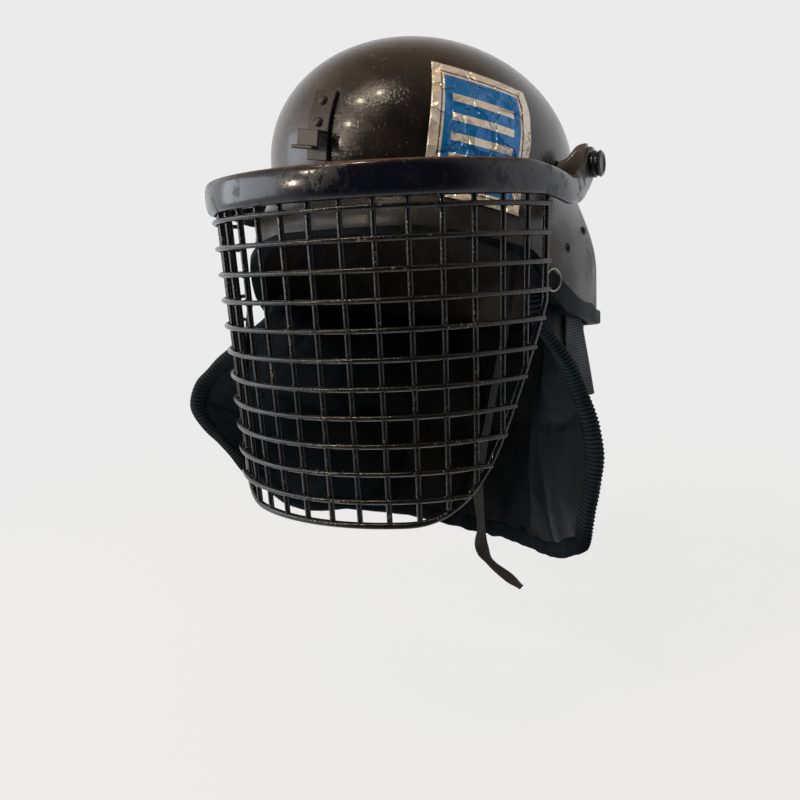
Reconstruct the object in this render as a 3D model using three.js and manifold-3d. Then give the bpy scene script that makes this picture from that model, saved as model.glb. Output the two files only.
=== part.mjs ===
import * as THREE from 'three';
import { mergeVertices } from 'three/addons/utils/BufferGeometryUtils.js';
import Module from 'manifold-3d';

// A riot helmet: a hollow shell with a neck skirt, a wire visor on side pivots and a padded neck curtain.
// Millimetres. The helmet faces -Y, the wearer's left is +X and +Z is up.
// Heights are measured from the crown's widest level. The last group moves the origin to the inside of the
// crown, which is where a head carries the helmet.

const wasm = await Module();
wasm.setup();

const GAP = 0.4;
const AROUND = 36;
const MERGE_DISTANCE = 1e-3;
const SHARE_STEP = 0.01;

// Crown and skirt
const DOME_HALF_WIDTH = 132;
const DOME_HALF_LENGTH = 148;
const DOME_RISE = 111;
const DOME_CENTRE = 2;
const DOME_LEAN = 0.217;
const LEAN_END = -25;
const SHELL_WALL = 4;
const DOME_ROWS = 8;
const WALL_ROWS = 6;
const SKIRT_FLARE = 19;
const FLARE_TOP = -22;
const FLARE_BOTTOM = -95;
const FLARE_EASE = 0.7;
const FLARE_FRONT_DEG = 30;
const FLARE_FULL_DEG = 90;
const BROW_SQUARENESS = 3.2;
const BROW_LEVEL = -50;

// The shell's lower edge from the brow, at 0 degrees, to the nape, at 180, and the depth of its edging
const RIM = [
  { degrees: 0, height: -50, edging: 2 },
  { degrees: 18, height: -51, edging: 2 },
  { degrees: 34, height: -57, edging: 2 },
  { degrees: 56, height: -70, edging: 4 },
  { degrees: 64, height: -82, edging: 11 },
  { degrees: 70, height: -100, edging: 17 },
  { degrees: 78, height: -117, edging: 19 },
  { degrees: 86, height: -125, edging: 12 },
  { degrees: 95, height: -133, edging: 8 },
  { degrees: 115, height: -140, edging: 8 },
  { degrees: 180, height: -160, edging: 8 },
];

// Rubber edging: a channel over the shell's edge
const TRIM_THICKNESS = 3;
const TRIM_DEPTH_INSIDE = 6;

// Visor: wires on a slightly tapered round wall, hung from a band
const VISOR_CENTRE = -57;
const VISOR_RADIUS = 149;
const VISOR_TAPER = 0.026 / 100;
const TOP_ROW = -38;
const ROW_PITCH = 21.1;
const ROWS = 11;
const COLUMN_PITCH = 24;
const COLUMNS_EACH_SIDE = 8;
const SIDE_EDGE = 8.5 * COLUMN_PITCH;
const UPRIGHT_RADIUS = 2.2;
const ROW_RADIUS = 2;
const FRAME_RADIUS = 2.6;
const WIRE_SIDES = 5;
const EDGE_INWARDS = 0.5;
const EDGE_UPWARDS = 0.25;
const WELD = 0.5;
const SHARPEST_MITRE = 0.7;
const UPRIGHT_TOP = -14;
const ROW_SETBACK = 1;

// Lower outline of the visor's frame, as distance round the wall and height
const FRAME_SIDE_END = -110;
const FRAME_SLANT_END = { along: 156, height: -207 };
const FRAME_CORNER = { along: 125, height: -269 };
const FRAME_FLAT_END = 75;
const FRAME_CORNER_STEPS = 5;

// Visor band and its arms
const BAND_INSIDE = 153;
const BAND_THICKNESS = 6;
const BAND_TOP = -7;
const BAND_BOTTOM = -32;
const BAND_TOP_DIP = { depth: 10, startDeg: 62, endDeg: 97 };
const BAND_BOTTOM_DIP = { depth: 6, startDeg: 72, endDeg: 92 };
const BAND_STEPS = 20;
const BAND_FACE_STEPS = 6;
const BAND_FULLNESS = 0.5;
const ARM = [
  { depth: -40, top: -15, bottom: -37, thickness: 6 },
  { depth: -25, top: -8, bottom: -34, thickness: 5 },
  { depth: -12, top: 1, bottom: -28, thickness: 4 },
  { depth: -3, top: 8, bottom: -23, thickness: 4 },
  { depth: 6, top: 11, bottom: -16, thickness: 4 },
  { depth: 13, top: 8, bottom: -9, thickness: 4 },
  { depth: 17, top: 2, bottom: -3, thickness: 4 },
];

// Side pivots
const PIVOT_HEIGHT = -4;
const PIVOT_SIDES = 12;
const PIN_RADIUS = 4;
const KNOB_RADIUS = 11;
const KNOB_NECK_RADIUS = 9.8;
const KNOB_WASHER = 2;
const KNOB_LENGTH = 8;
const KNOB_SLOPE = 1;
const KNOB_NECK = 2;
const KNOB_CHAMFER = 2;

// Lugs that carry the pivots, from the shell outwards: oval sections about the pivot's axis
const LUG = [
  { share: 0, depth: -8, height: -4, halfDepth: 13, halfHeight: 8 },
  { share: 0.3, depth: -7, height: -2, halfDepth: 9, halfHeight: 9 },
  { share: 0.6, depth: -4, height: 1, halfDepth: 8, halfHeight: 14 },
  { share: 0.85, depth: -2, height: 1, halfDepth: 8, halfHeight: 16 },
  { share: 1, depth: -1, height: 1, halfDepth: 8, halfHeight: 16 },
];

// Catch on the brow: a strip with two rivets, which carries a hook with a lip
const CATCH_WIDTH = 19;
const CATCH_THICKNESS = 2.5;
const CATCH_TOP = 55;
const CATCH_BEND = 22;
const CATCH_FOOT = 3;
const CATCH_REACH = 15;
const CATCH_DROP = 12;
const CATCH_LIP = 7;
const CATCH_STAND = 1.2;
const CATCH_OFFSET = -9.5;
const CATCH_TILT_DEG = 9;
const CATCH_RIVET_RADIUS = 3.4;
const CATCH_RIVET_HEIGHTS = { upper: 47, lower: 31 };

// Rivet heads: rows of height and radius, as shares of the head's radius
const RIVET_SIDES = 8;
const RIVET_PROFILE = [
  { height: 0, radius: 0 },
  { height: 0, radius: 1 },
  { height: 0.35, radius: 0.9 },
  { height: 0.6, radius: 0.5 },
  { height: 0.7, radius: 0 },
];

// Rivets of the skirt, as angle from the brow and height
const SKIRT_RIVET_RADIUS = 3.6;
const SKIRT_RIVETS = [
  { name: 'front', degrees: 83, height: -71 },
  { name: 'rear', degrees: 93, height: -57 },
];

// Foil label on the crown: its four corners, as angle from the brow and height
const LABEL_TOP = [{ degrees: 38, height: 72 }, { degrees: 74, height: 51 }];
const LABEL_BOTTOM = [{ degrees: 27, height: -28 }, { degrees: 60, height: -46 }];
const LABEL_STAND = 0.8;
const LABEL_THICKNESS = 0.4;
const LABEL_STEPS = 9;

// Padded neck curtain: each row is a rib that hangs from the rim, with its points below down to the hem
const CURTAIN_THICKNESS = 9;
const CURTAIN_INSET = 17;
const CURTAIN_TUCK = 4;
const CURTAIN_HANG = 14;
const CURTAIN_STEPS = 26;
const CURTAIN_DROPS = 7;
const CURTAIN = [
  { degrees: 72, below: [[146, -42, -166], [166, -40, -238], [156, -40, -314]] },
  { degrees: 100, below: [[100, 16, -230], [114, 16, -344]] },
  { degrees: 125, below: [[86, 88, -250], [72, 64, -356]] },
  { degrees: 150, below: [[52, 136, -262], [32, 98, -363]] },
  { degrees: 180, below: [[0, 158, -272], [-22, 118, -366]] },
  { degrees: 210, below: [[-75, 142, -262], [-92, 118, -360]] },
  { degrees: 235, below: [[-135, 100, -245], [-148, 88, -350]] },
  { degrees: 260, below: [[-178, 30, -225], [-180, 25, -334]] },
  { degrees: 288, below: [[-212, -88, -203], [-172, -80, -266]] },
];
const BINDING_RADIUS = 6;
const BINDING_SIDES = 5;
const BINDING_START = 0.03;
const BINDING_GAP = 1.4;

// Webbing tab outside the left flap, hung from inside the rim
const TAB_WIDTH = 34;
const TAB_THICKNESS = 2.5;
const TAB_FROM_PIVOT = 0;
const TAB_TOP = -127;
const TAB_DROP = 72;
const TAB_TOP_SIDE = 137;
const TAB_SWING = 6;
const TAB_TOP_TURN_DEG = 4;
const TAB_END_TURN_DEG = 30;

// Thin wire ring at the front corner of the skirt
const RING_RADIUS = 8.5;
const RING_WIRE = 0.8;
const RING_WIRE_SIDES = 5;
const RING_STEPS = 16;
const RING_DEGREES = 71.5;
const RING_HEIGHT = -95;

// Loose chin strap: points from its anchor inside the left side of the shell to its free end
const STRAP_WIDTH = 12;
const STRAP_THICKNESS = 2;
const STRAP_ROUTE = [
  { x: 112, y: -70, z: -82, turn: 0 },
  { x: 108, y: -78, z: -130, turn: 0 },
  { x: 98, y: -92, z: -200, turn: 0 },
  { x: 90, y: -100, z: -252, turn: 15 },
  { x: 91, y: -100, z: -290, turn: 0 },
  { x: 91, y: -100, z: -310, turn: 38 },
  { x: 98, y: -100, z: -322, turn: -6 },
  { x: 114, y: -100, z: -333, turn: 6 },
  { x: 125, y: -100, z: -340, turn: -15 },
];
const STRAP_STEPS = 28;

const radians = THREE.MathUtils.degToRad;
const smoothstep = THREE.MathUtils.smoothstep;
const lerp = THREE.MathUtils.lerp;
const UP = new THREE.Vector3(0, 0, 1);

// Finishes
function finish(colour, roughness, metalness) {
  return new THREE.MeshStandardMaterial({ color: colour, roughness, metalness });
}

const SHELL_PAINT = finish(0x1c1816, 0.3, 0);
const BAND_ENAMEL = finish(0x15182a, 0.2, 0);
const WIRE_ENAMEL = finish(0x17181a, 0.35, 0.2);
const RUBBER = finish(0x151c1e, 0.6, 0);
const DARK_STEEL = finish(0x1d1916, 0.45, 0.6);
const BRIGHT_WIRE = finish(0xb9b4aa, 0.35, 0.8);
const FOIL = finish(0xb8bcc4, 0.3, 0.8);
const KNOB_PLASTIC = finish(0x101012, 0.3, 0);
const NYLON = finish(0x12161f, 0.75, 0);
const RIBBED_TAPE = finish(0x181d26, 0.85, 0);
const STRAP_TAPE = finish(0x2d2b28, 0.8, 0);

// Closed solids from lists of triangles
function solidGeometry(triangles) {
  const corners = triangles.flat();
  const positions = corners.flatMap((corner) => [corner.x, corner.y, corner.z]);
  const loose = new THREE.BufferGeometry();
  loose.setAttribute('position', new THREE.Float32BufferAttribute(positions, 3));
  const merged = mergeVertices(loose, MERGE_DISTANCE);
  const index = Array.from(merged.index.array);
  const kept = [];
  for (let i = 0; i < index.length; i += 3) {
    const [a, b, c] = index.slice(i, i + 3);
    if (a !== b && b !== c && c !== a) kept.push(a, b, c);
  }
  merged.setIndex(signedVolume(merged, kept) < 0 ? kept.toReversed() : kept);
  return merged;
}

function signedVolume(geometry, index) {
  const position = geometry.attributes.position;
  const [a, b, c] = [new THREE.Vector3(), new THREE.Vector3(), new THREE.Vector3()];
  let volume = 0;
  for (let i = 0; i < index.length; i += 3) {
    a.fromBufferAttribute(position, index[i]);
    b.fromBufferAttribute(position, index[i + 1]);
    c.fromBufferAttribute(position, index[i + 2]);
    volume += a.dot(b.cross(c)) / 6;
  }
  return volume;
}

function quad(a, b, c, d) {
  return [[a, b, c], [a, c, d]];
}

// A solid through rings of points, closed on itself or capped at both ends
function loft(rings, closed = false) {
  const triangles = [];
  const last = closed ? rings.length : rings.length - 1;
  for (let i = 0; i < last; i += 1) {
    const ring = rings[i];
    const next = rings[(i + 1) % rings.length];
    for (let j = 0; j < ring.length; j += 1) {
      const k = (j + 1) % ring.length;
      triangles.push(...quad(ring[j], ring[k], next[k], next[j]));
    }
  }
  if (!closed) {
    const first = rings[0];
    const end = rings[rings.length - 1];
    for (let j = 1; j < first.length - 1; j += 1) {
      triangles.push([first[0], first[j + 1], first[j]]);
      triangles.push([end[0], end[j], end[j + 1]]);
    }
  }
  return solidGeometry(triangles);
}

// A solid between two grids of points, joined along every open border
function sheet(front, back, closed = false) {
  const triangles = [];
  const rows = front.length;
  const columns = front[0].length;
  for (let i = 0; i < (closed ? rows : rows - 1); i += 1) {
    const next = (i + 1) % rows;
    for (let j = 0; j < columns - 1; j += 1) {
      triangles.push(...quad(front[i][j], front[i][j + 1], front[next][j + 1], front[next][j]));
      triangles.push(...quad(back[i][j], back[next][j], back[next][j + 1], back[i][j + 1]));
    }
    for (const [j, flip] of [[0, false], [columns - 1, true]]) {
      const border = [front[i][j], front[next][j], back[next][j], back[i][j]];
      triangles.push(...quad(...(flip ? border.reverse() : border)));
    }
  }
  if (!closed) {
    for (const [i, flip] of [[0, true], [rows - 1, false]]) {
      for (let j = 0; j < columns - 1; j += 1) {
        const border = [front[i][j], front[i][j + 1], back[i][j + 1], back[i][j]];
        triangles.push(...quad(...(flip ? border.reverse() : border)));
      }
    }
  }
  return solidGeometry(triangles);
}

// A round bar along a list of points, with its bends mitred
function bar(points, radius, sides, up = UP, turn = 0) {
  const rings = points.map((point, i) => {
    const before = points[Math.max(i - 1, 0)];
    const after = points[Math.min(i + 1, points.length - 1)];
    const inward = point.clone().sub(before);
    const along = after.clone().sub(before).normalize();
    const side = along.clone().cross(up).normalize();
    const lift = side.clone().cross(along);
    const bend = inward.length() > 0 ? inward.normalize().dot(along) : 1;
    return Array.from({ length: sides }, (_, j) => {
      const angle = (2 * Math.PI * (j + turn)) / sides;
      return point.clone()
        .addScaledVector(side, (radius * Math.cos(angle)) / Math.max(bend, SHARPEST_MITRE))
        .addScaledVector(lift, radius * Math.sin(angle));
    });
  });
  return loft(rings);
}

function manifoldOf(geometry) {
  const vertProperties = new Float32Array(geometry.attributes.position.array);
  const triVerts = new Uint32Array(geometry.index.array);
  return new wasm.Manifold(new wasm.Mesh({ numProp: 3, vertProperties, triVerts }));
}

function geometryOf(manifold) {
  const mesh = manifold.getMesh();
  const geometry = new THREE.BufferGeometry();
  geometry.setAttribute('position', new THREE.Float32BufferAttribute(mesh.vertProperties, 3));
  geometry.setIndex(Array.from(mesh.triVerts));
  return geometry;
}

// A turned piece whose axis is X, from pairs of distance along X and radius
function turned(profile, sides = PIVOT_SIDES) {
  const points = profile.map(([along, radius]) => new THREE.Vector2(radius, along));
  const geometry = new THREE.LatheGeometry(points, sides);
  geometry.deleteAttribute('normal');
  geometry.deleteAttribute('uv');
  geometry.rotateZ(-Math.PI / 2);
  const position = geometry.attributes.position;
  const corner = (i) => new THREE.Vector3().fromBufferAttribute(position, geometry.index.array[i]);
  const triangles = [];
  for (let i = 0; i < geometry.index.count; i += 3) triangles.push([corner(i), corner(i + 1), corner(i + 2)]);
  return solidGeometry(triangles);
}

// The shell's outer surface at an angle from the brow and a height, or a distance inside it.
// Level sections are ellipses, which grow squarer towards the brow and wider towards the skirt's edge.
function turnFromBrow(angle) {
  return Math.abs(THREE.MathUtils.euclideanModulo(angle + Math.PI, 2 * Math.PI) - Math.PI);
}

function flareAt(angle, height) {
  const reach = smoothstep(turnFromBrow(angle), radians(FLARE_FRONT_DEG), radians(FLARE_FULL_DEG));
  const drop = THREE.MathUtils.clamp((height - FLARE_TOP) / (FLARE_BOTTOM - FLARE_TOP), 0, 1);
  return SKIRT_FLARE * reach * smoothstep(drop ** FLARE_EASE, 0, 1);
}

function roundedPower(value, power) {
  return Math.sign(value) * Math.abs(value) ** power;
}

function shellPoint(angle, height, inset = 0) {
  const rise = DOME_RISE - inset;
  const share = height > 0 ? Math.sqrt(Math.max(0, 1 - (height / rise) ** 2)) : 1;
  const flare = flareAt(angle, height);
  const halfWidth = (DOME_HALF_WIDTH - inset) * share + flare;
  const halfLength = (DOME_HALF_LENGTH - inset) * share + flare;
  const centre = DOME_CENTRE - DOME_LEAN * Math.max(height, LEAN_END);
  const inFront = Math.cos(angle) > 0;
  const power = 2 / (inFront ? lerp(2, BROW_SQUARENESS, smoothstep(-height, 0, -BROW_LEVEL)) : 2);
  const across = halfWidth * roundedPower(Math.sin(angle), power);
  return new THREE.Vector3(across, centre - halfLength * roundedPower(Math.cos(angle), power), height);
}

function rimColumn(column) {
  const turns = RIM.map((row) => radians(row.degrees));
  const curve = new THREE.LinearInterpolant(turns, RIM.map((row) => row[column]), 1);
  return (angle) => curve.evaluate(turnFromBrow(angle))[0];
}

const rimHeight = rimColumn('height');
const edgingDepth = rimColumn('edging');

function anglesAround() {
  return Array.from({ length: AROUND }, (_, i) => (2 * Math.PI * i) / AROUND);
}

function makeShell() {
  const wall = (inset) => anglesAround().map((angle) => {
    const meridian = [];
    for (let i = 0; i <= DOME_ROWS; i += 1) {
      const height = (DOME_RISE - inset) * Math.cos((Math.PI / 2) * (i / DOME_ROWS));
      meridian.push(shellPoint(angle, i === DOME_ROWS ? 0 : height, inset));
    }
    for (let i = 1; i <= WALL_ROWS; i += 1) {
      meridian.push(shellPoint(angle, (rimHeight(angle) * i) / WALL_ROWS, inset));
    }
    return meridian;
  });
  return sheet(wall(0), wall(SHELL_WALL), true);
}

function makeTrim() {
  const outside = GAP + TRIM_THICKNESS;
  const inside = SHELL_WALL + GAP;
  const base = GAP + TRIM_THICKNESS;
  const rings = anglesAround().map((angle) => {
    const depth = edgingDepth(angle);
    const section = [
      [-GAP, depth],
      [-outside, depth],
      [-outside, -base],
      [inside + TRIM_THICKNESS, -base],
      [inside + TRIM_THICKNESS, TRIM_DEPTH_INSIDE],
      [inside, TRIM_DEPTH_INSIDE],
      [inside, -GAP],
      [-GAP, -GAP],
    ];
    return section.map(([inset, height]) => shellPoint(angle, rimHeight(angle) + height, inset));
  });
  return loft(rings, true);
}

// Points of the visor's wall at a distance round it from the middle and a height
function visorRadius(height) {
  return VISOR_RADIUS * (1 + VISOR_TAPER * (height - TOP_ROW));
}

function visorOutward(along) {
  const angle = along / VISOR_RADIUS;
  return new THREE.Vector3(Math.sin(angle), -Math.cos(angle), 0);
}

function visorPoint(along, height, stand = 0) {
  const radius = visorRadius(height) + stand;
  return visorOutward(along).multiplyScalar(radius).add(new THREE.Vector3(0, VISOR_CENTRE, height));
}

function frameCorner() {
  return new THREE.QuadraticBezierCurve(
    new THREE.Vector2(FRAME_SLANT_END.along, FRAME_SLANT_END.height),
    new THREE.Vector2(FRAME_CORNER.along, FRAME_CORNER.height),
    new THREE.Vector2(FRAME_FLAT_END, FRAME_CORNER.height),
  );
}

// The wearer's left half of the frame's outline, from its top to the middle of its flat bottom
function frameOutline() {
  const side = new THREE.Vector2(SIDE_EDGE, FRAME_SIDE_END);
  const slant = new THREE.Vector2(FRAME_SLANT_END.along, FRAME_SLANT_END.height);
  const points = [new THREE.Vector2(SIDE_EDGE, UPRIGHT_TOP), side, side.clone().lerp(slant, 0.5)];
  points.push(...frameCorner().getPoints(FRAME_CORNER_STEPS));
  for (let column = 2; column >= 0; column -= 1) {
    points.push(new THREE.Vector2(column * COLUMN_PITCH, FRAME_CORNER.height));
  }
  return points;
}

function frameReach(height) {
  const outline = frameOutline();
  for (let i = 1; i < outline.length; i += 1) {
    const [upper, lower] = [outline[i - 1], outline[i]];
    if (height <= upper.y && height > lower.y) {
      return lerp(upper.x, lower.x, (upper.y - height) / (upper.y - lower.y));
    }
  }
  return 0;
}

function frameDepth(along) {
  const outline = frameOutline();
  for (let i = 1; i < outline.length; i += 1) {
    const [outer, inner] = [outline[i - 1], outline[i]];
    if (along <= outer.x && along > inner.x) {
      return lerp(outer.y, inner.y, (outer.x - along) / (outer.x - inner.x));
    }
  }
  return FRAME_CORNER.height;
}

function frameBar() {
  const half = frameOutline();
  const mirrored = half.slice(0, -1).reverse().map((point) => new THREE.Vector2(-point.x, point.y));
  const points = [...half, ...mirrored].map((point) => visorPoint(point.x, point.y));
  return bar(points, FRAME_RADIUS, WIRE_SIDES, new THREE.Vector3(0, -1, 0));
}

function rowBar(height) {
  const chordSag = VISOR_RADIUS - Math.hypot(VISOR_RADIUS, COLUMN_PITCH / 2);
  const stand = UPRIGHT_RADIUS + ROW_RADIUS - WELD - chordSag;
  const reach = frameReach(height) - ROW_SETBACK;
  const points = [visorPoint(-reach, height, stand)];
  for (let column = -COLUMNS_EACH_SIDE; column <= COLUMNS_EACH_SIDE; column += 1) {
    const along = column * COLUMN_PITCH;
    if (Math.abs(along) < reach - COLUMN_PITCH / 4) points.push(visorPoint(along, height, stand));
  }
  points.push(visorPoint(reach, height, stand));
  return bar(points, ROW_RADIUS, WIRE_SIDES, UP, EDGE_INWARDS);
}

function uprightBar(along) {
  const points = [visorPoint(along, UPRIGHT_TOP), visorPoint(along, frameDepth(Math.abs(along)))];
  return bar(points, UPRIGHT_RADIUS, WIRE_SIDES, visorOutward(along), EDGE_UPWARDS);
}

function makeGrille() {
  let grille = manifoldOf(frameBar());
  for (let column = -COLUMNS_EACH_SIDE; column < COLUMNS_EACH_SIDE; column += 1) {
    grille = grille.add(manifoldOf(uprightBar((column + 0.5) * COLUMN_PITCH)));
  }
  for (let row = 0; row < ROWS; row += 1) {
    grille = grille.add(manifoldOf(rowBar(TOP_ROW - row * ROW_PITCH)));
  }
  return geometryOf(grille);
}

// The band's sections run along one arm, round the front and along the other arm
function bandSection(place, outward, top, bottom, thickness) {
  const middle = (top + bottom) / 2;
  const half = (top - bottom) / 2;
  return Array.from({ length: BAND_FACE_STEPS + 1 }, (_, i) => {
    const slope = Math.PI * (0.5 - i / BAND_FACE_STEPS);
    const bulge = thickness * Math.max(Math.cos(slope), 0) ** BAND_FULLNESS;
    return place.clone().addScaledVector(outward, bulge).setZ(middle + half * Math.sin(slope));
  });
}

// Near the arms the band's edges dip
function bandDip(angle, dip) {
  return dip.depth * smoothstep(Math.abs(angle), radians(dip.startDeg), radians(dip.endDeg));
}

function armSections(sign) {
  const outward = new THREE.Vector3(sign, 0, 0);
  return ARM.map((row) => {
    const place = new THREE.Vector3(sign * BAND_INSIDE, row.depth, 0);
    return bandSection(place, outward, row.top, row.bottom, row.thickness);
  });
}

function makeBand() {
  const rings = armSections(-1).reverse();
  for (let i = 0; i <= BAND_STEPS; i += 1) {
    const angle = Math.PI * (i / BAND_STEPS - 0.5);
    const outward = new THREE.Vector3(Math.sin(angle), -Math.cos(angle), 0);
    const place = outward.clone().multiplyScalar(BAND_INSIDE);
    place.y += VISOR_CENTRE;
    const top = BAND_TOP - bandDip(angle, BAND_TOP_DIP);
    const bottom = BAND_BOTTOM - bandDip(angle, BAND_BOTTOM_DIP);
    rings.push(bandSection(place, outward, top, bottom, BAND_THICKNESS));
  }
  rings.push(...armSections(1));
  const reach = BAND_INSIDE + BAND_THICKNESS;
  const hole = turned([[-reach, 0], [-reach, PIN_RADIUS + GAP], [reach, PIN_RADIUS + GAP], [reach, 0]]);
  hole.translate(0, 0, PIVOT_HEIGHT);
  return geometryOf(manifoldOf(loft(rings)).subtract(manifoldOf(hole)));
}

const armOutside = BAND_INSIDE + ARM[2].thickness;

function makeBoss() {
  const rings = LUG.map((row) => Array.from({ length: PIVOT_SIDES }, (_, j) => {
    const angle = (2 * Math.PI * j) / PIVOT_SIDES;
    return new THREE.Vector3(
      lerp(DOME_HALF_WIDTH + GAP, BAND_INSIDE - GAP, row.share),
      row.depth + row.halfDepth * Math.cos(angle),
      row.height + row.halfHeight * Math.sin(angle),
    );
  }));
  return loft(rings);
}

function makeKnob() {
  const face = armOutside + GAP;
  const neck = face + KNOB_WASHER + KNOB_SLOPE;
  const end = face + KNOB_LENGTH;
  return turned([
    [BAND_INSIDE, 0],
    [BAND_INSIDE, PIN_RADIUS],
    [face, PIN_RADIUS],
    [face, KNOB_RADIUS],
    [face + KNOB_WASHER, KNOB_RADIUS],
    [neck, KNOB_NECK_RADIUS],
    [neck + KNOB_NECK, KNOB_NECK_RADIUS],
    [neck + KNOB_NECK + KNOB_SLOPE, KNOB_RADIUS],
    [end - KNOB_CHAMFER, KNOB_RADIUS],
    [end, KNOB_RADIUS - KNOB_CHAMFER],
    [end, 0],
  ]);
}

// The catch's strip lies on the brow. Its hook stands out, turns down and ends in a lip
const catchMiddle = (CATCH_TOP + CATCH_BEND) / 2;

function catchSurface(height, stand) {
  const point = shellPoint(0, height, -stand);
  return new THREE.Vector2(point.y, height);
}

function catchSide(height) {
  return CATCH_OFFSET + (height - catchMiddle) * Math.tan(radians(CATCH_TILT_DEG));
}

function makeCatch() {
  const face = CATCH_STAND + CATCH_THICKNESS;
  const outer = catchSurface(CATCH_BEND, CATCH_STAND).x - CATCH_REACH;
  const low = CATCH_BEND - CATCH_DROP;
  const at = (depth, height) => new THREE.Vector2(depth, height);
  const outline = [
    catchSurface(CATCH_TOP, CATCH_STAND),
    catchSurface(catchMiddle, CATCH_STAND),
    catchSurface(CATCH_BEND, CATCH_STAND),
    catchSurface(CATCH_FOOT, CATCH_STAND),
    catchSurface(CATCH_FOOT, face),
    catchSurface(CATCH_BEND, face),
    at(outer + CATCH_THICKNESS, CATCH_BEND),
    at(outer + CATCH_THICKNESS, low),
    at(outer - CATCH_LIP, low),
    at(outer - CATCH_LIP, low + CATCH_THICKNESS),
    at(outer, low + CATCH_THICKNESS),
    at(outer, CATCH_BEND + CATCH_THICKNESS),
    catchSurface(CATCH_BEND + CATCH_THICKNESS, face),
    catchSurface(catchMiddle, face),
    catchSurface(CATCH_TOP, face),
  ];
  const across = { depth: CATCH_WIDTH, bevelEnabled: false };
  const geometry = new THREE.ExtrudeGeometry(new THREE.Shape(outline), across);
  geometry.translate(0, -catchMiddle, -CATCH_WIDTH / 2);
  geometry.applyMatrix4(new THREE.Matrix4().set(0, 0, 1, 0, 1, 0, 0, 0, 0, 1, 0, 0, 0, 0, 0, 1));
  geometry.rotateY(radians(CATCH_TILT_DEG));
  geometry.translate(CATCH_OFFSET, 0, catchMiddle);
  return geometry;
}

// A low round head that stands on a surface point and faces away from it
function makeRivetHead(radius) {
  return turned(RIVET_PROFILE.map((row) => [row.height * radius, row.radius * radius]), RIVET_SIDES);
}

function placeOn(mesh, point, outward, stand) {
  mesh.position.copy(point).addScaledVector(outward, stand);
  mesh.quaternion.setFromUnitVectors(new THREE.Vector3(1, 0, 0), outward);
  return mesh;
}

function shellNormal(angle, height) {
  const round = shellPoint(angle + SHARE_STEP, height).sub(shellPoint(angle - SHARE_STEP, height));
  const up = shellPoint(angle, height + 1).sub(shellPoint(angle, height - 1));
  return round.cross(up).normalize();
}

// The label lies on the crown, between its four corners
function makeLabel() {
  const between = (across, down, column) => lerp(
    lerp(LABEL_TOP[0][column], LABEL_TOP[1][column], across),
    lerp(LABEL_BOTTOM[0][column], LABEL_BOTTOM[1][column], across),
    down,
  );
  const face = (stand) => Array.from({ length: LABEL_STEPS + 1 }, (_, i) => (
    Array.from({ length: LABEL_STEPS + 1 }, (__, j) => {
      const [across, down] = [i / LABEL_STEPS, j / LABEL_STEPS];
      return shellPoint(radians(between(across, down, 'degrees')), between(across, down, 'height'), -stand);
    })
  ));
  return sheet(face(LABEL_STAND + LABEL_THICKNESS), face(LABEL_STAND));
}

// Middle surface of the curtain: share 0 to 1 from the left front edge to the right, drop 0 to 1 downwards
const curtainRibs = CURTAIN.map((row) => {
  const angle = radians(row.degrees);
  const hang = (height) => shellPoint(angle, rimHeight(angle) + height, CURTAIN_INSET);
  const below = row.below.map((point) => new THREE.Vector3(...point));
  return new THREE.CatmullRomCurve3([hang(CURTAIN_TUCK), hang(-CURTAIN_HANG), ...below]);
});

function curtainPoint(share, drop) {
  const stations = curtainRibs.map((rib) => rib.getPointAt(drop));
  return new THREE.CatmullRomCurve3(stations).getPoint(share);
}

function curtainDirections(share, drop) {
  const [before, after] = [Math.max(share - SHARE_STEP, 0), Math.min(share + SHARE_STEP, 1)];
  const [above, below] = [Math.max(drop - SHARE_STEP, 0), Math.min(drop + SHARE_STEP, 1)];
  const round = curtainPoint(after, drop).sub(curtainPoint(before, drop));
  const down = curtainPoint(share, below).sub(curtainPoint(share, above));
  return { round: round.normalize(), down: down.normalize() };
}

function curtainNormal(share, drop) {
  const { round, down } = curtainDirections(share, drop);
  return down.cross(round).normalize();
}

function makeCurtain() {
  const face = (stand) => Array.from({ length: CURTAIN_STEPS + 1 }, (_, i) => (
    Array.from({ length: CURTAIN_DROPS + 1 }, (__, j) => {
      const [share, drop] = [i / CURTAIN_STEPS, j / CURTAIN_DROPS];
      return curtainPoint(share, drop).addScaledVector(curtainNormal(share, drop), stand);
    })
  ));
  return sheet(face(CURTAIN_THICKNESS / 2), face(-CURTAIN_THICKNESS / 2));
}

// The binding runs down the left front edge, along the hem and up the right front edge
function makeBinding() {
  const reach = BINDING_RADIUS + BINDING_GAP;
  const squareTo = (edge, direction) => (
    direction.clone().addScaledVector(edge, -edge.dot(direction)).normalize()
  );
  const beside = (share, drop, sideways, downwards) => {
    const { round, down } = curtainDirections(share, drop);
    return curtainPoint(share, drop)
      .addScaledVector(squareTo(down, round), sideways * reach)
      .addScaledVector(squareTo(round, down), downwards * reach);
  };
  const drops = [BINDING_START];
  for (let j = 1; j < CURTAIN_DROPS; j += 1) drops.push(j / CURTAIN_DROPS);
  const points = drops.map((drop) => beside(0, drop, -1, 0));
  points.push(beside(0, 1, -1, 1));
  for (let i = 1; i < CURTAIN_STEPS; i += 1) points.push(beside(i / CURTAIN_STEPS, 1, 0, 1));
  points.push(beside(1, 1, 1, 1));
  points.push(...drops.reverse().map((drop) => beside(1, drop, 1, 0)));
  return bar(points, BINDING_RADIUS, BINDING_SIDES, new THREE.Vector3(0, 1, 0));
}

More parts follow.
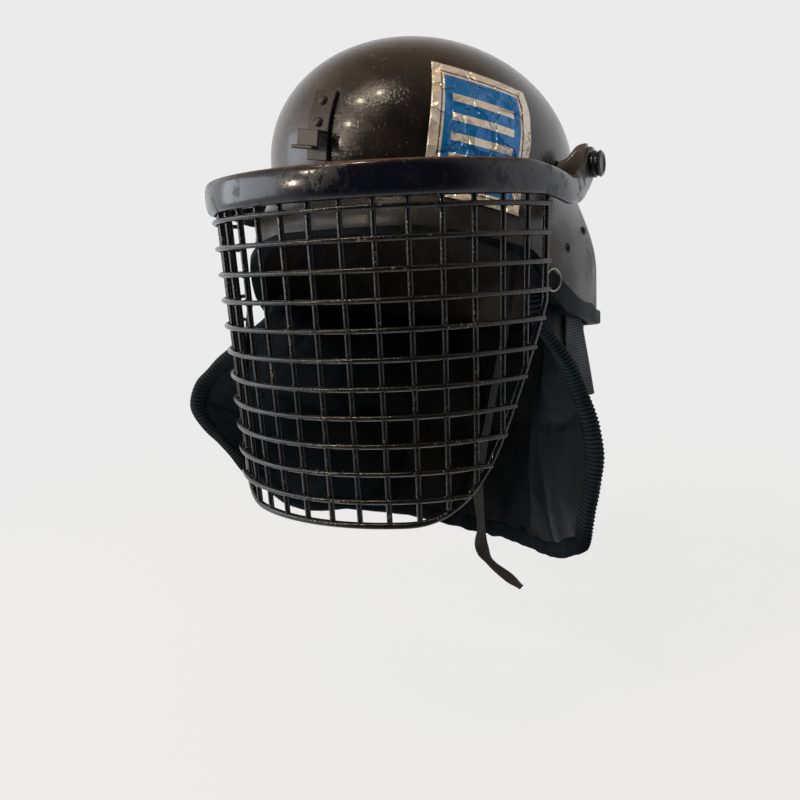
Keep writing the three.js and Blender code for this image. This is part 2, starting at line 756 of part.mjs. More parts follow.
function makeTab() {
  const turnAt = (drop) => radians(lerp(TAB_TOP_TURN_DEG, TAB_END_TURN_DEG, drop));
  const face = (stand) => [-0.5, 0, 0.5].map((along) => [0, 0.5, 1].map((drop) => new THREE.Vector3(
    TAB_TOP_SIDE + TAB_SWING * drop + along * TAB_WIDTH * Math.sin(turnAt(drop)) + stand,
    TAB_FROM_PIVOT + along * TAB_WIDTH * Math.cos(turnAt(drop)),
    TAB_TOP - TAB_DROP * drop,
  )));
  return sheet(face(TAB_THICKNESS), face(0));
}

function makeStrap() {
  const route = new THREE.CatmullRomCurve3(STRAP_ROUTE.map((row) => new THREE.Vector3(row.x, row.y, row.z)));
  const turnAt = (share) => {
    const place = share * (STRAP_ROUTE.length - 1);
    const i = Math.min(Math.floor(place), STRAP_ROUTE.length - 2);
    return radians(lerp(STRAP_ROUTE[i].turn, STRAP_ROUTE[i + 1].turn, smoothstep(place - i, 0, 1)));
  };
  const rings = Array.from({ length: STRAP_STEPS + 1 }, (_, i) => {
    const share = i / STRAP_STEPS;
    const along = route.getTangent(share);
    const flat = new THREE.Vector3(0, 1, 0).addScaledVector(along, -along.y).normalize();
    const across = flat.applyAxisAngle(along, turnAt(share));
    const through = along.clone().cross(across);
    return [[1, 1], [-1, 1], [-1, -1], [1, -1]].map(([wide, thick]) => (
      route.getPoint(share)
        .addScaledVector(across, (wide * STRAP_WIDTH) / 2)
        .addScaledVector(through, (thick * STRAP_THICKNESS) / 2)
    ));
  });
  return loft(rings);
}

function makeRing() {
  const geometry = new THREE.TorusGeometry(RING_RADIUS, RING_WIRE, RING_WIRE_SIDES, RING_STEPS);
  geometry.rotateY(Math.PI / 2);
  return geometry;
}

// Assembly
function piece(name, geometry, material) {
  const mesh = new THREE.Mesh(geometry, material);
  mesh.name = name;
  return mesh;
}

function mirrored(geometry) {
  const copy = geometry.clone();
  copy.scale(-1, 1, 1);
  copy.setIndex(Array.from(copy.index.array).reverse());
  return copy;
}

const body = new THREE.Group();
body.add(piece('shell', makeShell(), SHELL_PAINT));
body.add(piece('rim_trim', makeTrim(), RUBBER));
body.add(piece('catch', makeCatch(), DARK_STEEL));
body.add(piece('label', makeLabel(), FOIL));
body.add(piece('neck_curtain', makeCurtain(), NYLON));
body.add(piece('curtain_binding', makeBinding(), RIBBED_TAPE));
body.add(piece('curtain_tab', makeTab(), RIBBED_TAPE));
body.add(piece('chin_strap', makeStrap(), STRAP_TAPE));

for (const [name, height] of Object.entries(CATCH_RIVET_HEIGHTS)) {
  const rivet = piece(`catch_rivet_${name}`, makeRivetHead(CATCH_RIVET_RADIUS), DARK_STEEL);
  const point = shellPoint(0, height, -CATCH_STAND - CATCH_THICKNESS).setX(catchSide(height));
  body.add(placeOn(rivet, point, shellNormal(0, height), GAP));
}

for (const [side, sign] of [['left', 1], ['right', -1]]) {
  for (const row of SKIRT_RIVETS) {
    const angle = sign * radians(row.degrees);
    const rivet = piece(`skirt_rivet_${row.name}_${side}`, makeRivetHead(SKIRT_RIVET_RADIUS), DARK_STEEL);
    body.add(placeOn(rivet, shellPoint(angle, row.height), shellNormal(angle, row.height), GAP));
  }
  const boss = makeBoss();
  const knob = makeKnob();
  const pivot = new THREE.Group();
  pivot.position.z = PIVOT_HEIGHT;
  pivot.add(piece(`pivot_boss_${side}`, sign > 0 ? boss : mirrored(boss), BAND_ENAMEL));
  pivot.add(piece(`pivot_knob_${side}`, sign > 0 ? knob : mirrored(knob), KNOB_PLASTIC));
  body.add(pivot);
}

const ringAngle = radians(RING_DEGREES);
const ringPoint = shellPoint(ringAngle, RING_HEIGHT, -GAP - TRIM_THICKNESS);
const ring = piece('wire_ring', makeRing(), BRIGHT_WIRE);
body.add(placeOn(ring, ringPoint, shellNormal(ringAngle, RING_HEIGHT), GAP + RING_WIRE));

const visor = new THREE.Group();
visor.add(piece('visor_band', makeBand(), BAND_ENAMEL));
visor.add(piece('visor_grille', makeGrille(), WIRE_ENAMEL));

const helmet = new THREE.Group();
helmet.add(body, visor);
const crownInside = DOME_RISE - SHELL_WALL;
helmet.position.set(0, DOME_LEAN * crownInside - DOME_CENTRE, -crownInside);

export default helmet;
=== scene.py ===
# %% [markdown]
# # A riot helmet, dressed
# The solids give the helmet its sizes and its hinge. The cells below make the smooth paint, the worn wire,
# the padding, the tape and the foil that a photograph shows, in the same frame and in metres.
# The helmet faces -Y, the wearer's left is +X and +Z is up. The origin is at the inside of the crown's top.

# %% Load the solids
import math

import bmesh
import bpy
from mathutils import Matrix, Vector, noise


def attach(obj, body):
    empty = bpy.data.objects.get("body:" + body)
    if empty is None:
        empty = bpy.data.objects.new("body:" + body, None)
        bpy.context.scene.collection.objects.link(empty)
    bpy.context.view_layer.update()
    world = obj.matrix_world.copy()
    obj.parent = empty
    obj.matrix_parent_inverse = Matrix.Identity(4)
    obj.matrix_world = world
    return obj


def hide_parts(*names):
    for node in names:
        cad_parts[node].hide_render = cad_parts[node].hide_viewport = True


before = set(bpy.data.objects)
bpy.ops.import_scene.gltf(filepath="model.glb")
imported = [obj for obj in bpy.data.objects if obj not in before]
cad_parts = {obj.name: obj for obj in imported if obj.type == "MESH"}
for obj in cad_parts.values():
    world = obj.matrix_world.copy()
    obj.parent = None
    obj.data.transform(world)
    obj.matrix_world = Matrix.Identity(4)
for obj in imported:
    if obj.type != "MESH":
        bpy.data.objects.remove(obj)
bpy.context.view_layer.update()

# %% [markdown]
# ## Camera
# The picture was taken a little above the visor's middle, from the wearer's left front. The visor's even
# wires and its frame fix where the lens stood, so the same view can be laid over the picture.

# %% Camera at the picture's angle
CAMERA_PLACE = Vector((0.3436, -0.6567, -0.1805))
CAMERA_YAW = math.radians(29.22)
CAMERA_DIP = math.radians(10.01)
CAMERA_ROLL = math.radians(-2.65)
LENS_MM = 36.0
SENSOR_MM = 36.0


def camera_turn():
    level_right = Vector((math.cos(CAMERA_YAW), math.sin(CAMERA_YAW), 0.0))
    level_ahead = Vector((-math.sin(CAMERA_YAW), math.cos(CAMERA_YAW), 0.0))
    upright = Vector((0.0, 0.0, 1.0))
    ahead = level_ahead * math.cos(CAMERA_DIP) - upright * math.sin(CAMERA_DIP)
    above = upright * math.cos(CAMERA_DIP) + level_ahead * math.sin(CAMERA_DIP)
    right = level_right * math.cos(CAMERA_ROLL) + above * math.sin(CAMERA_ROLL)
    top = above * math.cos(CAMERA_ROLL) - level_right * math.sin(CAMERA_ROLL)
    return Matrix((right, top, -ahead)).transposed()


lens = bpy.data.cameras.new("portrait_lens")
lens.lens = LENS_MM
lens.sensor_width = SENSOR_MM
portrait = bpy.data.objects.new("portrait_camera", lens)
portrait.matrix_world = Matrix.Translation(CAMERA_PLACE) @ camera_turn().to_4x4()
bpy.context.scene.collection.objects.link(portrait)
bpy.context.scene.camera = portrait
print("camera at", tuple(round(value, 3) for value in CAMERA_PLACE))

# %% [markdown]
# ## Shader maths
# Every finish is worked out from the place on the object, as wear and grain are. A small class lets an
# output of the shader tree take plain arithmetic, so that a finish reads as a formula.

# %% Arithmetic on a shader's outputs


class Wire:
    """An output of a shader tree that takes plain arithmetic."""

    def __init__(self, paint, socket):
        self.paint = paint
        self.socket = socket

    def maths(self, operation, first, second):
        return self.paint.node("ShaderNodeMath", {"operation": operation}, {0: first, 1: second})

    def __add__(self, other):
        return self.maths("ADD", self, other)

    def __radd__(self, other):
        return self.maths("ADD", other, self)

    def __sub__(self, other):
        return self.maths("SUBTRACT", self, other)

    def __rsub__(self, other):
        return self.maths("SUBTRACT", other, self)

    def __mul__(self, other):
        return self.maths("MULTIPLY", self, other)

    def __rmul__(self, other):
        return self.maths("MULTIPLY", other, self)

    def sine(self):
        return self.maths("SINE", self, 0.0)

    def distance_from(self, middle):
        return self.maths("ABSOLUTE", self - middle, 0.0)

    def largest(self, other):
        return self.maths("MAXIMUM", self, other)

    def between(self, low, high):
        """0 up to low, 1 from high on, and smooth in between."""
        limits = {"Value": self, "From Min": low, "From Max": high}
        return self.paint.node("ShaderNodeMapRange", {"interpolation_type": "SMOOTHSTEP"}, limits)


print("shader arithmetic ready")

# %% A material and its nodes


class Paint:
    """A material whose look is worked out from the place on the object."""

    def __init__(self, name):
        self.material = bpy.data.materials.new(name)
        self.material.use_nodes = True
        self.tree = self.material.node_tree
        self.shader = self.tree.nodes["Principled BSDF"]
        self.place = self.node("ShaderNodeTexCoord", output="Object")

    def node(self, kind, settings=None, inputs=None, output=0):
        made = self.tree.nodes.new(kind)
        for key, value in (settings or {}).items():
            setattr(made, key, value)
        for key, value in (inputs or {}).items():
            self.join(made.inputs[key], value)
        return Wire(self, made.outputs[output])

    def join(self, socket, value):
        if isinstance(value, Wire):
            self.tree.links.new(value.socket, socket)
        else:
            socket.default_value = value

    def noise(self, scale, detail=3.0, roughness=0.55, place=None):
        inputs = {"Vector": place or self.place, "Scale": scale, "Detail": detail, "Roughness": roughness}
        return self.node("ShaderNodeTexNoise", None, inputs)

    def stretched(self, factors):
        return self.node("ShaderNodeVectorMath", {"operation": "MULTIPLY"}, {0: self.place, 1: factors})

    def axis(self, name):
        """One coordinate of the place on the object."""
        return self.node("ShaderNodeSeparateXYZ", None, {0: self.place}, name)

    def flat(self, name):
        """One coordinate of the piece laid flat, 0 to 1."""
        laid = self.node("ShaderNodeUVMap", {"uv_map": "flat"})
        return self.node("ShaderNodeSeparateXYZ", None, {0: laid}, name)

    def mix(self, share, first, second):
        return self.node("ShaderNodeMix", {"data_type": "RGBA"}, {0: share, 6: first, 7: second}, 2)

    def bump(self, height, strength, depth):
        return self.node("ShaderNodeBump", None, {"Height": height, "Strength": strength, "Distance": depth})

    def look(self, sockets):
        for name, value in sockets.items():
            self.join(self.shader.inputs[name], value)
        return self.material


def colour(red, green, blue):
    return (red, green, blue, 1.0)


print("materials ready to be made")

# %% [markdown]
# ## Mesh helpers
# Most of the helmet's pieces are skins: a wall, a strip of tape, a bent tube. Each starts as a flat grid
# whose points are moved onto the real surface. Turned pieces are spun from half of their section.

# %% Bent grids and turned pieces
WELD_DISTANCE = 1e-6


def surface(columns, rows, place):
    """A grid bent onto a surface: place turns two shares, 0 to 1, into a point."""
    bm = bmesh.new()
    bm.loops.layers.uv.new("flat")
    bmesh.ops.create_grid(bm, x_segments=columns, y_segments=rows, size=0.5, calc_uvs=True)
    for vert in bm.verts:
        vert.co = place(vert.co.x + 0.5, vert.co.y + 0.5)
    bmesh.ops.remove_doubles(bm, verts=bm.verts, dist=WELD_DISTANCE)
    return bm


def close_ends(bm):
    open_edges = [edge for edge in bm.edges if edge.is_boundary]
    bmesh.ops.holes_fill(bm, edges=open_edges, sides=0)


def turned(profile, steps):
    """A piece spun round X from pairs of distance along X and radius."""
    bm = bmesh.new()
    verts = [bm.verts.new((along, 0.0, radius)) for along, radius in profile]
    edges = [bm.edges.new(pair) for pair in zip(verts, verts[1:])]
    bmesh.ops.spin(
        bm, geom=verts + edges, cent=(0, 0, 0), axis=(1, 0, 0), angle=math.tau, steps=steps, use_merge=True
    )
    bmesh.ops.remove_doubles(bm, verts=bm.verts, dist=WELD_DISTANCE)
    return bm


def keep(bm, name, body, material, nodes):
    """Turns the working mesh into a named piece that stands for the solids named."""
    # Faces that were moved still hold their old normals, which would mislead the recalculation.
    bm.normal_update()
    bmesh.ops.recalc_face_normals(bm, faces=bm.faces)
    for face in bm.faces:
        face.smooth = True
    mesh = bpy.data.meshes.new(name)
    bm.to_mesh(mesh)
    bm.free()
    mesh.materials.append(material)
    piece = bpy.data.objects.new(name, mesh)
    bpy.context.scene.collection.objects.link(piece)
    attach(piece, body)
    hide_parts(*nodes)
    print(name, len(mesh.vertices), "points")
    return piece


print("points closer than", WELD_DISTANCE, "m are merged")

# %% Soft edges and walls


def soften(piece, width, segments=2, angle=35.0):
    bevel = piece.modifiers.new("soft_edges", "BEVEL")
    bevel.width = width
    bevel.segments = segments
    bevel.limit_method = "ANGLE"
    bevel.angle_limit = math.radians(angle)
    bevel.harden_normals = True


def thicken(piece, thickness, side):
    wall = piece.modifiers.new("wall", "SOLIDIFY")
    wall.thickness = thickness
    wall.offset = side
    wall.use_even_offset = True


print("edges can be softened and skins thickened")

# %% Curves and tables
PACE_STEPS = 4


def smoothstep(value, low, high):
    share = min(max((value - low) / (high - low), 0.0), 1.0)
    return share * share * (3.0 - 2.0 * share)


def lerp(first, second, share):
    return first + (second - first) * share


def curve_point(points, share):
    """A smooth curve through the points, paced by the square roots of their distances."""
    place = share * (len(points) - 1)
    i = min(int(place), len(points) - 2)
    here, there = points[i], points[i + 1]
    before = points[i - 1] if i > 0 else 2 * here - there
    after = points[i + 2] if i + 2 < len(points) else 2 * there - here
    pace_in = math.sqrt((here - before).length)
    pace = math.sqrt((there - here).length)
    pace_out = math.sqrt((after - there).length)
    leave = (here - before) / pace_in - (there - before) / (pace_in + pace) + (there - here) / pace
    reach = (there - here) / pace - (after - here) / (pace + pace_out) + (after - there) / pace_out
    leave, reach = leave * pace, reach * pace
    step = place - i
    square = 3 * (there - here) - 2 * leave - reach
    cube = 2 * (here - there) + leave + reach
    return here + leave * step + square * step**2 + cube * step**3


def table_value(rows, key, column, at):
    """A value between the rows of a table, in proportion."""
    for lower, upper in zip(rows, rows[1:]):
        if at <= upper[key]:
            share = (at - lower[key]) / (upper[key] - lower[key])
            return lerp(lower[column], upper[column], min(max(share, 0.0), 1.0))
    return rows[-1][column]


def paced(points, count):
    """Points at even lengths along the smooth curve through the given ones."""
    fine_count = PACE_STEPS * count
    fine = [curve_point(points, i / fine_count) for i in range(fine_count + 1)]
    lengths = [0.0]
    for first, second in zip(fine, fine[1:]):
        lengths.append(lengths[-1] + (second - first).length)
    even, k = [], 0
    for i in range(count + 1):
        wanted = lengths[-1] * i / count
        while k < len(fine) - 2 and lengths[k + 1] < wanted:
            k += 1
        even.append(fine[k].lerp(fine[k + 1], (wanted - lengths[k]) / (lengths[k + 1] - lengths[k])))
    return even


print("curves are paced in", PACE_STEPS, "steps for each point")

# %% [markdown]
# ## Shared sizes
# The shell is a dome over an oval, which leans back a little, grows squarer at the brow and flares into a
# skirt over the ears and the nape. These are the same sizes as the solids have, so the skins lie on them.

# %% The shell's sizes
GAP = 0.0004
DOME_HALF_WIDTH = 0.132
DOME_HALF_LENGTH = 0.148
DOME_RISE = 0.111
DOME_CENTRE = 0.002
DOME_LEAN = 0.217
LEAN_END = -0.025
SHELL_WALL = 0.004
SKIRT_FLARE = 0.019
FLARE_TOP = -0.022
FLARE_BOTTOM = -0.095
FLARE_EASE = 0.7
FLARE_FRONT_DEG = 30.0
FLARE_FULL_DEG = 90.0
BROW_SQUARENESS = 3.2
BROW_LEVEL = 0.050
CROWN_INSIDE = DOME_RISE - SHELL_WALL
ORIGIN = Vector((0.0, DOME_LEAN * CROWN_INSIDE - DOME_CENTRE, -CROWN_INSIDE))
RIM = [
    {"degrees": 0, "height": -0.050, "edging": 0.002},
    {"degrees": 18, "height": -0.051, "edging": 0.002},
    {"degrees": 34, "height": -0.057, "edging": 0.002},
    {"degrees": 56, "height": -0.070, "edging": 0.004},
    {"degrees": 64, "height": -0.082, "edging": 0.011},
    {"degrees": 70, "height": -0.100, "edging": 0.017},
    {"degrees": 78, "height": -0.117, "edging": 0.019},
    {"degrees": 86, "height": -0.125, "edging": 0.012},
    {"degrees": 95, "height": -0.133, "edging": 0.008},
    {"degrees": 115, "height": -0.140, "edging": 0.008},
    {"degrees": 180, "height": -0.160, "edging": 0.008},
]
print("shell is", 2 * DOME_HALF_WIDTH, "m wide at its widest level")

# %% The shell's surface


def turn_from_brow(angle):
    return abs((angle + math.pi) % math.tau - math.pi)


def rim_height(angle):
    return table_value(RIM, "degrees", "height", math.degrees(turn_from_brow(angle)))


def edging_depth(angle):
    return table_value(RIM, "degrees", "edging", math.degrees(turn_from_brow(angle)))


def rounded_power(value, power):
    return math.copysign(abs(value) ** power, value)


def shell_point(angle, height, inset=0.0):
    share = math.sqrt(max(0.0, 1.0 - (height / (DOME_RISE - inset)) ** 2)) if height > 0 else 1.0
    reach = smoothstep(math.degrees(turn_from_brow(angle)), FLARE_FRONT_DEG, FLARE_FULL_DEG)
    drop = min(max((height - FLARE_TOP) / (FLARE_BOTTOM - FLARE_TOP), 0.0), 1.0)
    flare = SKIRT_FLARE * reach * smoothstep(drop**FLARE_EASE, 0.0, 1.0)
    half_width = (DOME_HALF_WIDTH - inset) * share + flare
    half_length = (DOME_HALF_LENGTH - inset) * share + flare
    centre = DOME_CENTRE - DOME_LEAN * max(height, LEAN_END)
    square = smoothstep(-height, 0.0, BROW_LEVEL) if math.cos(angle) > 0 else 0.0
    power = 2.0 / lerp(2.0, BROW_SQUARENESS, square)
    across = half_width * rounded_power(math.sin(angle), power)
    ahead = half_length * rounded_power(math.cos(angle), power)
    return ORIGIN + Vector((across, centre - ahead, height))


def shell_normal(angle, height):
    step, rise = 0.01, 0.001
    around = shell_point(angle + step, height) - shell_point(angle - step, height)
    up = shell_point(angle, height + rise) - shell_point(angle, height - rise)
    return around.cross(up).normalized()


print("shell's crown is", round(shell_point(0.0, DOME_RISE).z * 1000, 1), "mm above the origin")

# %% [markdown]
# ## Chin strap
# One half of the chin strap hangs loose. It is flat woven tape, and it leaves the shell inside the left
# ear, falls behind the visor and twists to and fro before its cut end. It is painted darker inside the
# curtain, as painted shade, than where it hangs below. It is built as a thin flat tube along its fall. Its
# route is the same as the solid's.

# %% The strap's fall
STRAP_WIDTH = 0.012
STRAP_THICKNESS = 0.002
STRAP_ROUTE = [
    {"place": (0.112, -0.070, -0.082), "turn": 0},
    {"place": (0.108, -0.078, -0.130), "turn": 0},
    {"place": (0.098, -0.092, -0.200), "turn": 0},
    {"place": (0.090, -0.100, -0.252), "turn": 15},
    {"place": (0.091, -0.100, -0.290), "turn": 0},
    {"place": (0.091, -0.100, -0.310), "turn": 38},
    {"place": (0.098, -0.100, -0.322), "turn": -6},
    {"place": (0.114, -0.100, -0.333), "turn": 6},
    {"place": (0.125, -0.100, -0.340), "turn": -15},
]
STRAP_STEPS = 120
STRAP_SECTION = 12
STRAP_ROUNDNESS = 0.35
STRAP_STEP = 0.004
STRAP_PATH_EVERY = 3
STRAP_SHADE_UP = (-0.385, -0.345)

strap_points = [ORIGIN + Vector(row["place"]) for row in STRAP_ROUTE]


def strap_turn(share):
    place = share * (len(STRAP_ROUTE) - 1)
    i = min(int(place), len(STRAP_ROUTE) - 2)
    eased = smoothstep(place - i, 0.0, 1.0)
    return math.radians(lerp(STRAP_ROUTE[i]["turn"], STRAP_ROUTE[i + 1]["turn"], eased))


def strap_place(along, around):
    point = curve_point(strap_points, along)
    before = curve_point(strap_points, max(along - STRAP_STEP, 0.0))
    after = curve_point(strap_points, min(along + STRAP_STEP, 1.0))
    ahead = (after - before).normalized()
    across = Vector((0.0, 1.0, 0.0))
    across = (across - ahead * across.dot(ahead)).normalized()
    across = Matrix.Rotation(strap_turn(along), 3, ahead) @ across
    through = ahead.cross(across)
    angle = math.tau * around
    wide = rounded_power(math.cos(angle), STRAP_ROUNDNESS) * STRAP_WIDTH / 2
    thick = rounded_power(math.sin(angle), STRAP_ROUNDNESS) * STRAP_THICKNESS / 2
    return point + across * wide + through * thick


print("strap falls through", len(strap_points), "points")

# %% Strap tape


def strap_tape():
    paint = Paint("strap_tape")
    weave = (paint.flat("X") * 1500.0).sine() * 0.5 + (paint.flat("Y") * 90.0).sine() * 0.3
    soil = paint.noise(60.0).between(0.35, 0.7)
    # painted shade: the tape is darkened above this height, where it hangs inside the curtain
    inside = paint.axis("Z").between(*STRAP_SHADE_UP)
    tone = paint.mix(soil, colour(0.022, 0.020, 0.018), colour(0.052, 0.048, 0.041))
    fuzz = paint.noise(1800.0) * 0.5
    return paint.look({
        "Base Color": paint.mix(inside * 0.9, tone, colour(0.003, 0.003, 0.004)),
        "Roughness": 0.75 + 0.15 * soil,
        "Normal": paint.bump(weave + fuzz, 0.5, 0.0006),
        "Sheen Weight": 0.1,
    })


bm = surface(STRAP_STEPS, STRAP_SECTION, strap_place)
close_ends(bm)
strap = keep(bm, "chin_strap_tape", "helmet", strap_tape(), ["chin_strap"])
strap_path = [curve_point(strap_points, i / STRAP_STEPS) for i in range(0, STRAP_STEPS + 1, STRAP_PATH_EVERY)]
strap_length = sum((second - first).length for first, second in zip(strap_path, strap_path[1:]))
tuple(strap_path[0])
print("strap hangs", round(strap_length, 3), "m")

# %% [markdown]
# ## Floor and light
# The helmet is seen on a pale ground in soft light. The room is bright at the sides and behind, so that the
# dark dome is edged with grey. A window stands at the wearer's right, and a row of small warm lamps hangs in
# front, which the dome's sheen catches.

# %% Pale floor
FLOOR_LEVEL = -0.604
FLOOR_SIZE = 6.0
FLOOR_FADE_FROM = 0.5
FLOOR_FADE_TO = 1.6
FLOOR_GLOW = 0.30
FLOOR_CLEAR = 0.88


def floor_material():
    paint = Paint("pale_floor")
    spread = paint.node("ShaderNodeVectorMath", {"operation": "LENGTH"}, {0: paint.place}, "Value")
    paint.look({
        "Base Color": colour(0.8, 0.8, 0.8),
        "Roughness": 0.7 + 0.05 * paint.noise(8.0),
        "Emission Color": colour(1.0, 1.0, 1.0),
        "Emission Strength": FLOOR_GLOW,
    })
    clear = paint.node("ShaderNodeBsdfTransparent")
    away = FLOOR_CLEAR + (1.0 - FLOOR_CLEAR) * spread.between(FLOOR_FADE_FROM, FLOOR_FADE_TO)
    both = {0: away, 1: Wire(paint, paint.shader.outputs[0]), 2: clear}
    faded = paint.node("ShaderNodeMixShader", None, both)
    paint.join(paint.tree.nodes["Material Output"].inputs["Surface"], faded)
    return paint.material


def make_floor():
    bm = bmesh.new()
    bmesh.ops.create_grid(bm, x_segments=2, y_segments=2, size=FLOOR_SIZE / 2)
    mesh = bpy.data.meshes.new("floor")
    bm.to_mesh(mesh)
    bm.free()
    mesh.materials.append(floor_material())
    floor = bpy.data.objects.new("floor", mesh)
    floor.location.z = FLOOR_LEVEL
    bpy.context.scene.collection.objects.link(floor)


make_floor()
print("floor lies at", FLOOR_LEVEL)

# %% Window and warm lamps
AIM = Vector((0.0, 0.0, -0.15))
WARM = (1.0, 0.84, 0.64)
WINDOW = {"place": (-1.3, -0.75, 0.0), "width": 1.3, "height": 0.75, "watts": 7.0, "tint": (0.84, 0.92, 1.0)}
LAMP_RADIUS = 0.05
LAMP_WATTS = 14.0
LAMP_ROW = [(-0.66, -1.35, 0.02), (-0.45, -1.35, 0.44), (-0.26, -1.04, 0.95), (0.04, -0.89, 1.10)]


def soft_box(name, box):
    light = bpy.data.lights.new(name, "AREA")
    light.shape = "RECTANGLE"
    light.size = box["width"]
    light.size_y = box["height"]
    light.energy = box["watts"]
    light.color = box["tint"]
    lamp = bpy.data.objects.new(name, light)
    lamp.location = box["place"]
    lamp.rotation_euler = (AIM - Vector(box["place"])).to_track_quat("-Z", "Y").to_euler()
    bpy.context.scene.collection.objects.link(lamp)


def bare_lamp(name, place, radius, watts):
    light = bpy.data.lights.new(name, "POINT")
    light.energy = watts
    light.shadow_soft_size = radius
    light.color = WARM
    lamp = bpy.data.objects.new(name, light)
    lamp.location = place
    bpy.context.scene.collection.objects.link(lamp)


soft_box("right_window", WINDOW)
for i, lamp_place in enumerate(LAMP_ROW):
    bare_lamp(f"warm_lamp_{i + 1}", lamp_place, LAMP_RADIUS, LAMP_WATTS)
print("window and", len(LAMP_ROW), "lamps set")

# %% Light of the room
PALE = 0.83
SIDE_LIGHT = 0.85
FRONT_LIGHT = 0.04
FRONT_AZIMUTH = math.radians(25.0)
FRONT_FROM = 0.25
FRONT_FULL = 0.80
OVERHEAD_FROM = 0.40
OVERHEAD_FULL = 0.85
DAYLIGHT = (0.97, 0.98, 1.0, 1.0)
OVERHEAD_TINT = (0.42, 0.30, 0.21, 1.0)


def world_node(tree, kind, inputs, settings=None):
    made = tree.nodes.new(kind)
    for key, value in (settings or {}).items():
        setattr(made, key, value)
    for key, value in inputs.items():
        if isinstance(value, bpy.types.NodeSocket):
            tree.links.new(value, made.inputs[key])
        else:
            made.inputs[key].default_value = value
    return made


def make_world():
    """Bright at the sides and behind, warm above, dark in front, and plain where it is seen straight."""
    world = bpy.data.worlds.new("studio")
    world.use_nodes = True
    tree = world.node_tree
    front = (math.sin(FRONT_AZIMUTH), -math.cos(FRONT_AZIMUTH), 0.0)
    way = tree.nodes.new("ShaderNodeTexCoord").outputs["Generated"]
    facing = world_node(tree, "ShaderNodeVectorMath", {0: way, 1: front}, {"operation": "DOT_PRODUCT"})
    level = {"Value": facing.outputs["Value"], 1: FRONT_FROM, 2: FRONT_FULL, 3: SIDE_LIGHT, 4: FRONT_LIGHT}
    glow = world_node(tree, "ShaderNodeMapRange", level, {"interpolation_type": "SMOOTHSTEP"})
    rise = world_node(tree, "ShaderNodeSeparateXYZ", {0: way}).outputs["Z"]
    above = world_node(tree, "ShaderNodeMapRange", {"Value": rise, 1: OVERHEAD_FROM, 2: OVERHEAD_FULL})
    tints = {0: above.outputs[0], 6: DAYLIGHT, 7: OVERHEAD_TINT}
    tint = world_node(tree, "ShaderNodeMix", tints, {"data_type": "RGBA"})
    room = world_node(tree, "ShaderNodeBackground", {"Color": tint.outputs[2], "Strength": glow.outputs[0]})
    ground = world_node(tree, "ShaderNodeBackground", {"Color": colour(PALE, PALE, PALE), "Strength": 1.0})
    straight = tree.nodes.new("ShaderNodeLightPath").outputs["Is Camera Ray"]
    chosen = world_node(tree, "ShaderNodeMixShader", {0: straight, 1: room.outputs[0], 2: ground.outputs[0]})
    tree.links.new(chosen.outputs[0], tree.nodes["World Output"].inputs["Surface"])
    bpy.context.scene.world = world


make_world()
bpy.context.scene.view_settings.view_transform = "Standard"
print("room is", round(SIDE_LIGHT / FRONT_LIGHT), "times brighter at the sides than in front")

# %% [markdown]
# ## Shell
# The real shell is moulded glass fibre under a dark paint with a fine orange-peel skin, handled for years.
# A smooth skin follows the solid's surface, and its wall is given by thickness. The paint is nearly black
# and brownish, duller and greyer on the skirt, with rubbed patches and pale scuffs. It is browner on the
# wearer's right, partly as rubbed paint and partly as painted light from the window on that side.

# %% Shell paint
SKIRT_DULL_DOWN = (-0.120, -0.175)
RUBBED_AND_LIT_TO_RIGHT = (0.05, -0.07)


def shell_paint():
    paint = Paint("shell_paint")
    skirt = paint.axis("Z").between(*SKIRT_DULL_DOWN)
    # browner with more scuffs on the wearer's right: partly rubbed paint, partly painted light from the
    # window side
    rubbed_and_lit_side = paint.axis("X").between(*RUBBED_AND_LIT_TO_RIGHT)
    cloud = paint.noise(24.0, 4.0, 0.6).between(0.38, 0.66)
    scratch = paint.noise(90.0, 5.0, 0.7, paint.stretched((1.0, 1.0, 0.35)))
    scuff = (scratch + 0.06 * rubbed_and_lit_side).between(0.60, 0.74)
    speck = paint.noise(420.0, 2.0).between(0.69, 0.74)
    pebble = paint.noise(760.0, 1.0, 0.4)
    dent = paint.noise(45.0, 2.0)
    dark = paint.mix(cloud, colour(0.0050, 0.0042, 0.0040), colour(0.015, 0.011, 0.009))
    brown = paint.mix(rubbed_and_lit_side * (0.20 + 0.75 * cloud), dark, colour(0.070, 0.047, 0.033))
    stain = skirt * paint.noise(17.0, 5.0, 0.65).between(0.42, 0.62)
    dusty = paint.mix(skirt * (0.5 + 0.5 * cloud), brown, colour(0.042, 0.040, 0.040))
    stained = paint.mix(stain * 0.8, dusty, colour(0.020, 0.015, 0.012))
    rubbed = paint.mix(scuff * 0.40, stained, colour(0.15, 0.12, 0.095))
    return paint.look({
        "Base Color": paint.mix(speck * 0.5, rubbed, colour(0.22, 0.20, 0.17)),
        "Roughness": 0.19 + 0.07 * cloud + 0.23 * skirt + 0.18 * scuff + 0.16 * stain,
        "Normal": paint.bump((pebble + 0.5 * dent) * (1.0 - 0.6 * skirt), 0.6, 0.0005),
        "Coat Weight": 0.22 - 0.2 * skirt,
        "Coat Roughness": 0.12,
        "Specular IOR Level": 0.5,
    })


SHELL_FINISH = shell_paint()
print("finish made:", SHELL_FINISH.name)

# %% Shell skin
SHELL_AROUND = 144
SHELL_DOWN = 84
CROWN_SHARE = 0.5


def shell_place(around, down):
    angle = math.tau * around
    if down <= CROWN_SHARE:
        height = DOME_RISE * math.cos(math.pi / 2 * down / CROWN_SHARE)
    else:
        height = rim_height(angle) * (down - CROWN_SHARE) / (1.0 - CROWN_SHARE)
    return shell_point(angle, height)


bm = surface(SHELL_AROUND, SHELL_DOWN, shell_place)
shell = keep(bm, "shell_skin", "helmet", SHELL_FINISH, ["shell"])
thicken(shell, SHELL_WALL, -1.0)

